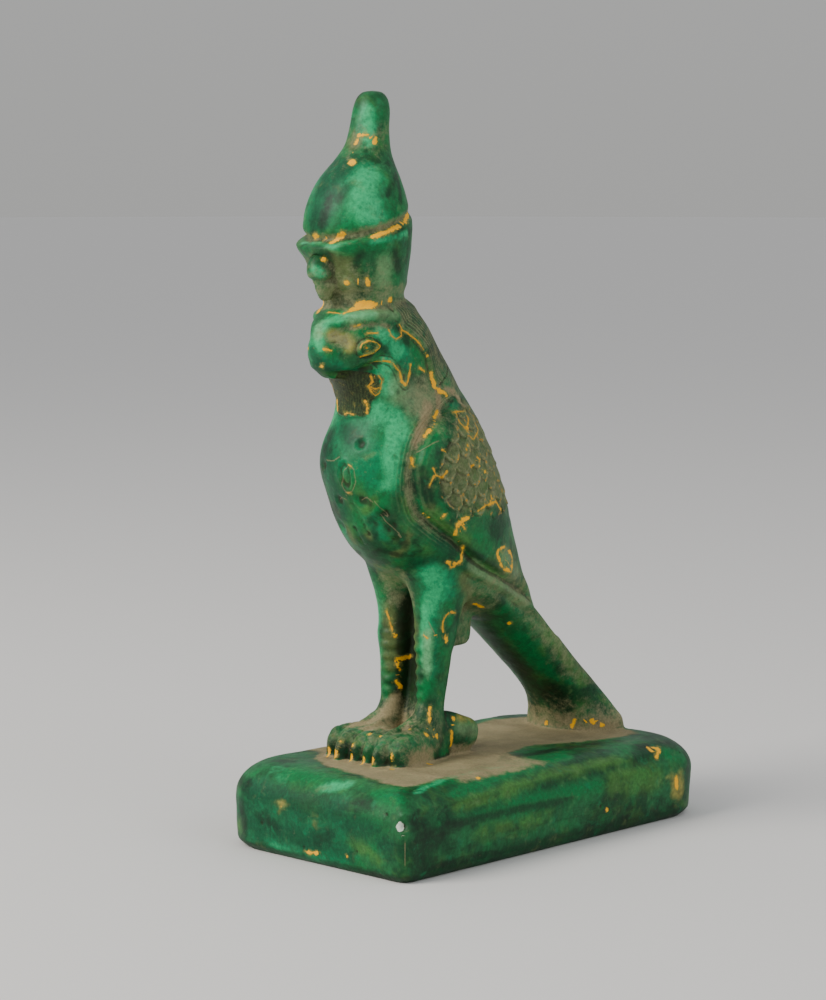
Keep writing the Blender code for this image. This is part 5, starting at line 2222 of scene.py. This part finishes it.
@dataclass
class Studio:
    """Plain pale floor, soft lights and the camera at the photo's angle."""

    camera_place: Point = (0.3710, -0.4003, 0.1229)
    azimuth: float = 44.0
    pitch: float = 6.0
    lens: float = 100.0
    floor_size: float = 60.0
    paper: Colour = (0.72, 0.71, 0.69)
    low_sky: Colour = (0.50, 0.50, 0.49)
    high_sky: Colour = (0.72, 0.73, 0.75)
    aim: Point = (0.0, 0.0, 0.07)
    lamps: tuple = (
        ("key", (-0.25, -0.75, 0.60), 0.45, 9.0, (1.0, 0.96, 0.90)),
        ("fill", (0.85, 0.05, 0.40), 0.6, 2.0, (0.93, 0.97, 1.0)),
    )

    def camera(self) -> None:
        """Adds the camera and makes it the scene's."""
        data = bpy.data.cameras.new("camera")
        data.lens = self.lens
        data.sensor_width = 36.0
        data.clip_start = 0.01
        obj = bpy.data.objects.new("camera", data)
        bpy.context.scene.collection.objects.link(obj)
        turn = Matrix.Rotation(math.radians(self.azimuth), 4, "Z")
        tip = Matrix.Rotation(math.radians(90 - self.pitch), 4, "X")
        obj.matrix_world = Matrix.Translation(self.camera_place) @ turn @ tip
        bpy.context.scene.camera = obj

    def floor(self) -> None:
        """Adds the pale floor."""
        bpy.ops.object.select_all(action="DESELECT")
        bpy.ops.mesh.primitive_plane_add(size=self.floor_size)
        floor = bpy.context.active_object
        floor.name = "floor"
        material = bpy.data.materials.new("pale paper")
        material.use_nodes = True
        graph = Graph(material.node_tree)
        shader = material.node_tree.nodes["Principled BSDF"]
        graph.fill(shader, Base_Color=self.paper, Roughness=0.9)
        floor.data.materials.append(material)

    def lamp(self, name: str, place: Point, size: float, power: float, colour: Colour) -> None:
        """Adds one soft square light that faces the statuette.

        Args:
            name: The light's name.
            place: Where it hangs, in metres.
            size: Its width.
            power: Its power in watts.
            colour: Its colour.
        """
        data = bpy.data.lights.new(name, "AREA")
        data.shape = "SQUARE"
        data.size = size
        data.energy = power
        data.color = colour
        obj = bpy.data.objects.new(name, data)
        bpy.context.scene.collection.objects.link(obj)
        aim = np.array(self.aim) - np.array(place)
        yaw = math.atan2(-aim[0], aim[1])
        tip = math.atan2(np.hypot(aim[0], aim[1]), -aim[2])
        turn = Matrix.Rotation(yaw, 4, "Z") @ Matrix.Rotation(tip, 4, "X")
        obj.matrix_world = Matrix.Translation(place) @ turn

    def build(self) -> None:
        """Sets up the whole studio."""
        self.camera()
        self.floor()
        for lamp in self.lamps:
            self.lamp(*lamp)
        world = bpy.data.worlds.new("studio")
        world.use_nodes = True
        graph = Graph(world.node_tree)
        ray = graph.node("TexCoord").outputs["Generated"]
        height = graph.node("SeparateXYZ", ray).outputs["Z"]
        sky = graph.mix(graph.step(height, -0.02, 0.5), self.low_sky, self.high_sky)
        graph.fill(world.node_tree.nodes["Background"], Color=sky, Strength=0.85)
        bpy.context.scene.world = world


def main() -> None:
    """Builds the studio and the statuette."""
    logging.basicConfig(level=logging.INFO, format="%(message)s")
    Studio().build()
    casting = Casting().build()
    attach(casting, "root")
    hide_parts(NODE)
    log.info("%s: %d faces", casting.name, len(casting.data.polygons))


if __name__ == "__main__":
    main()
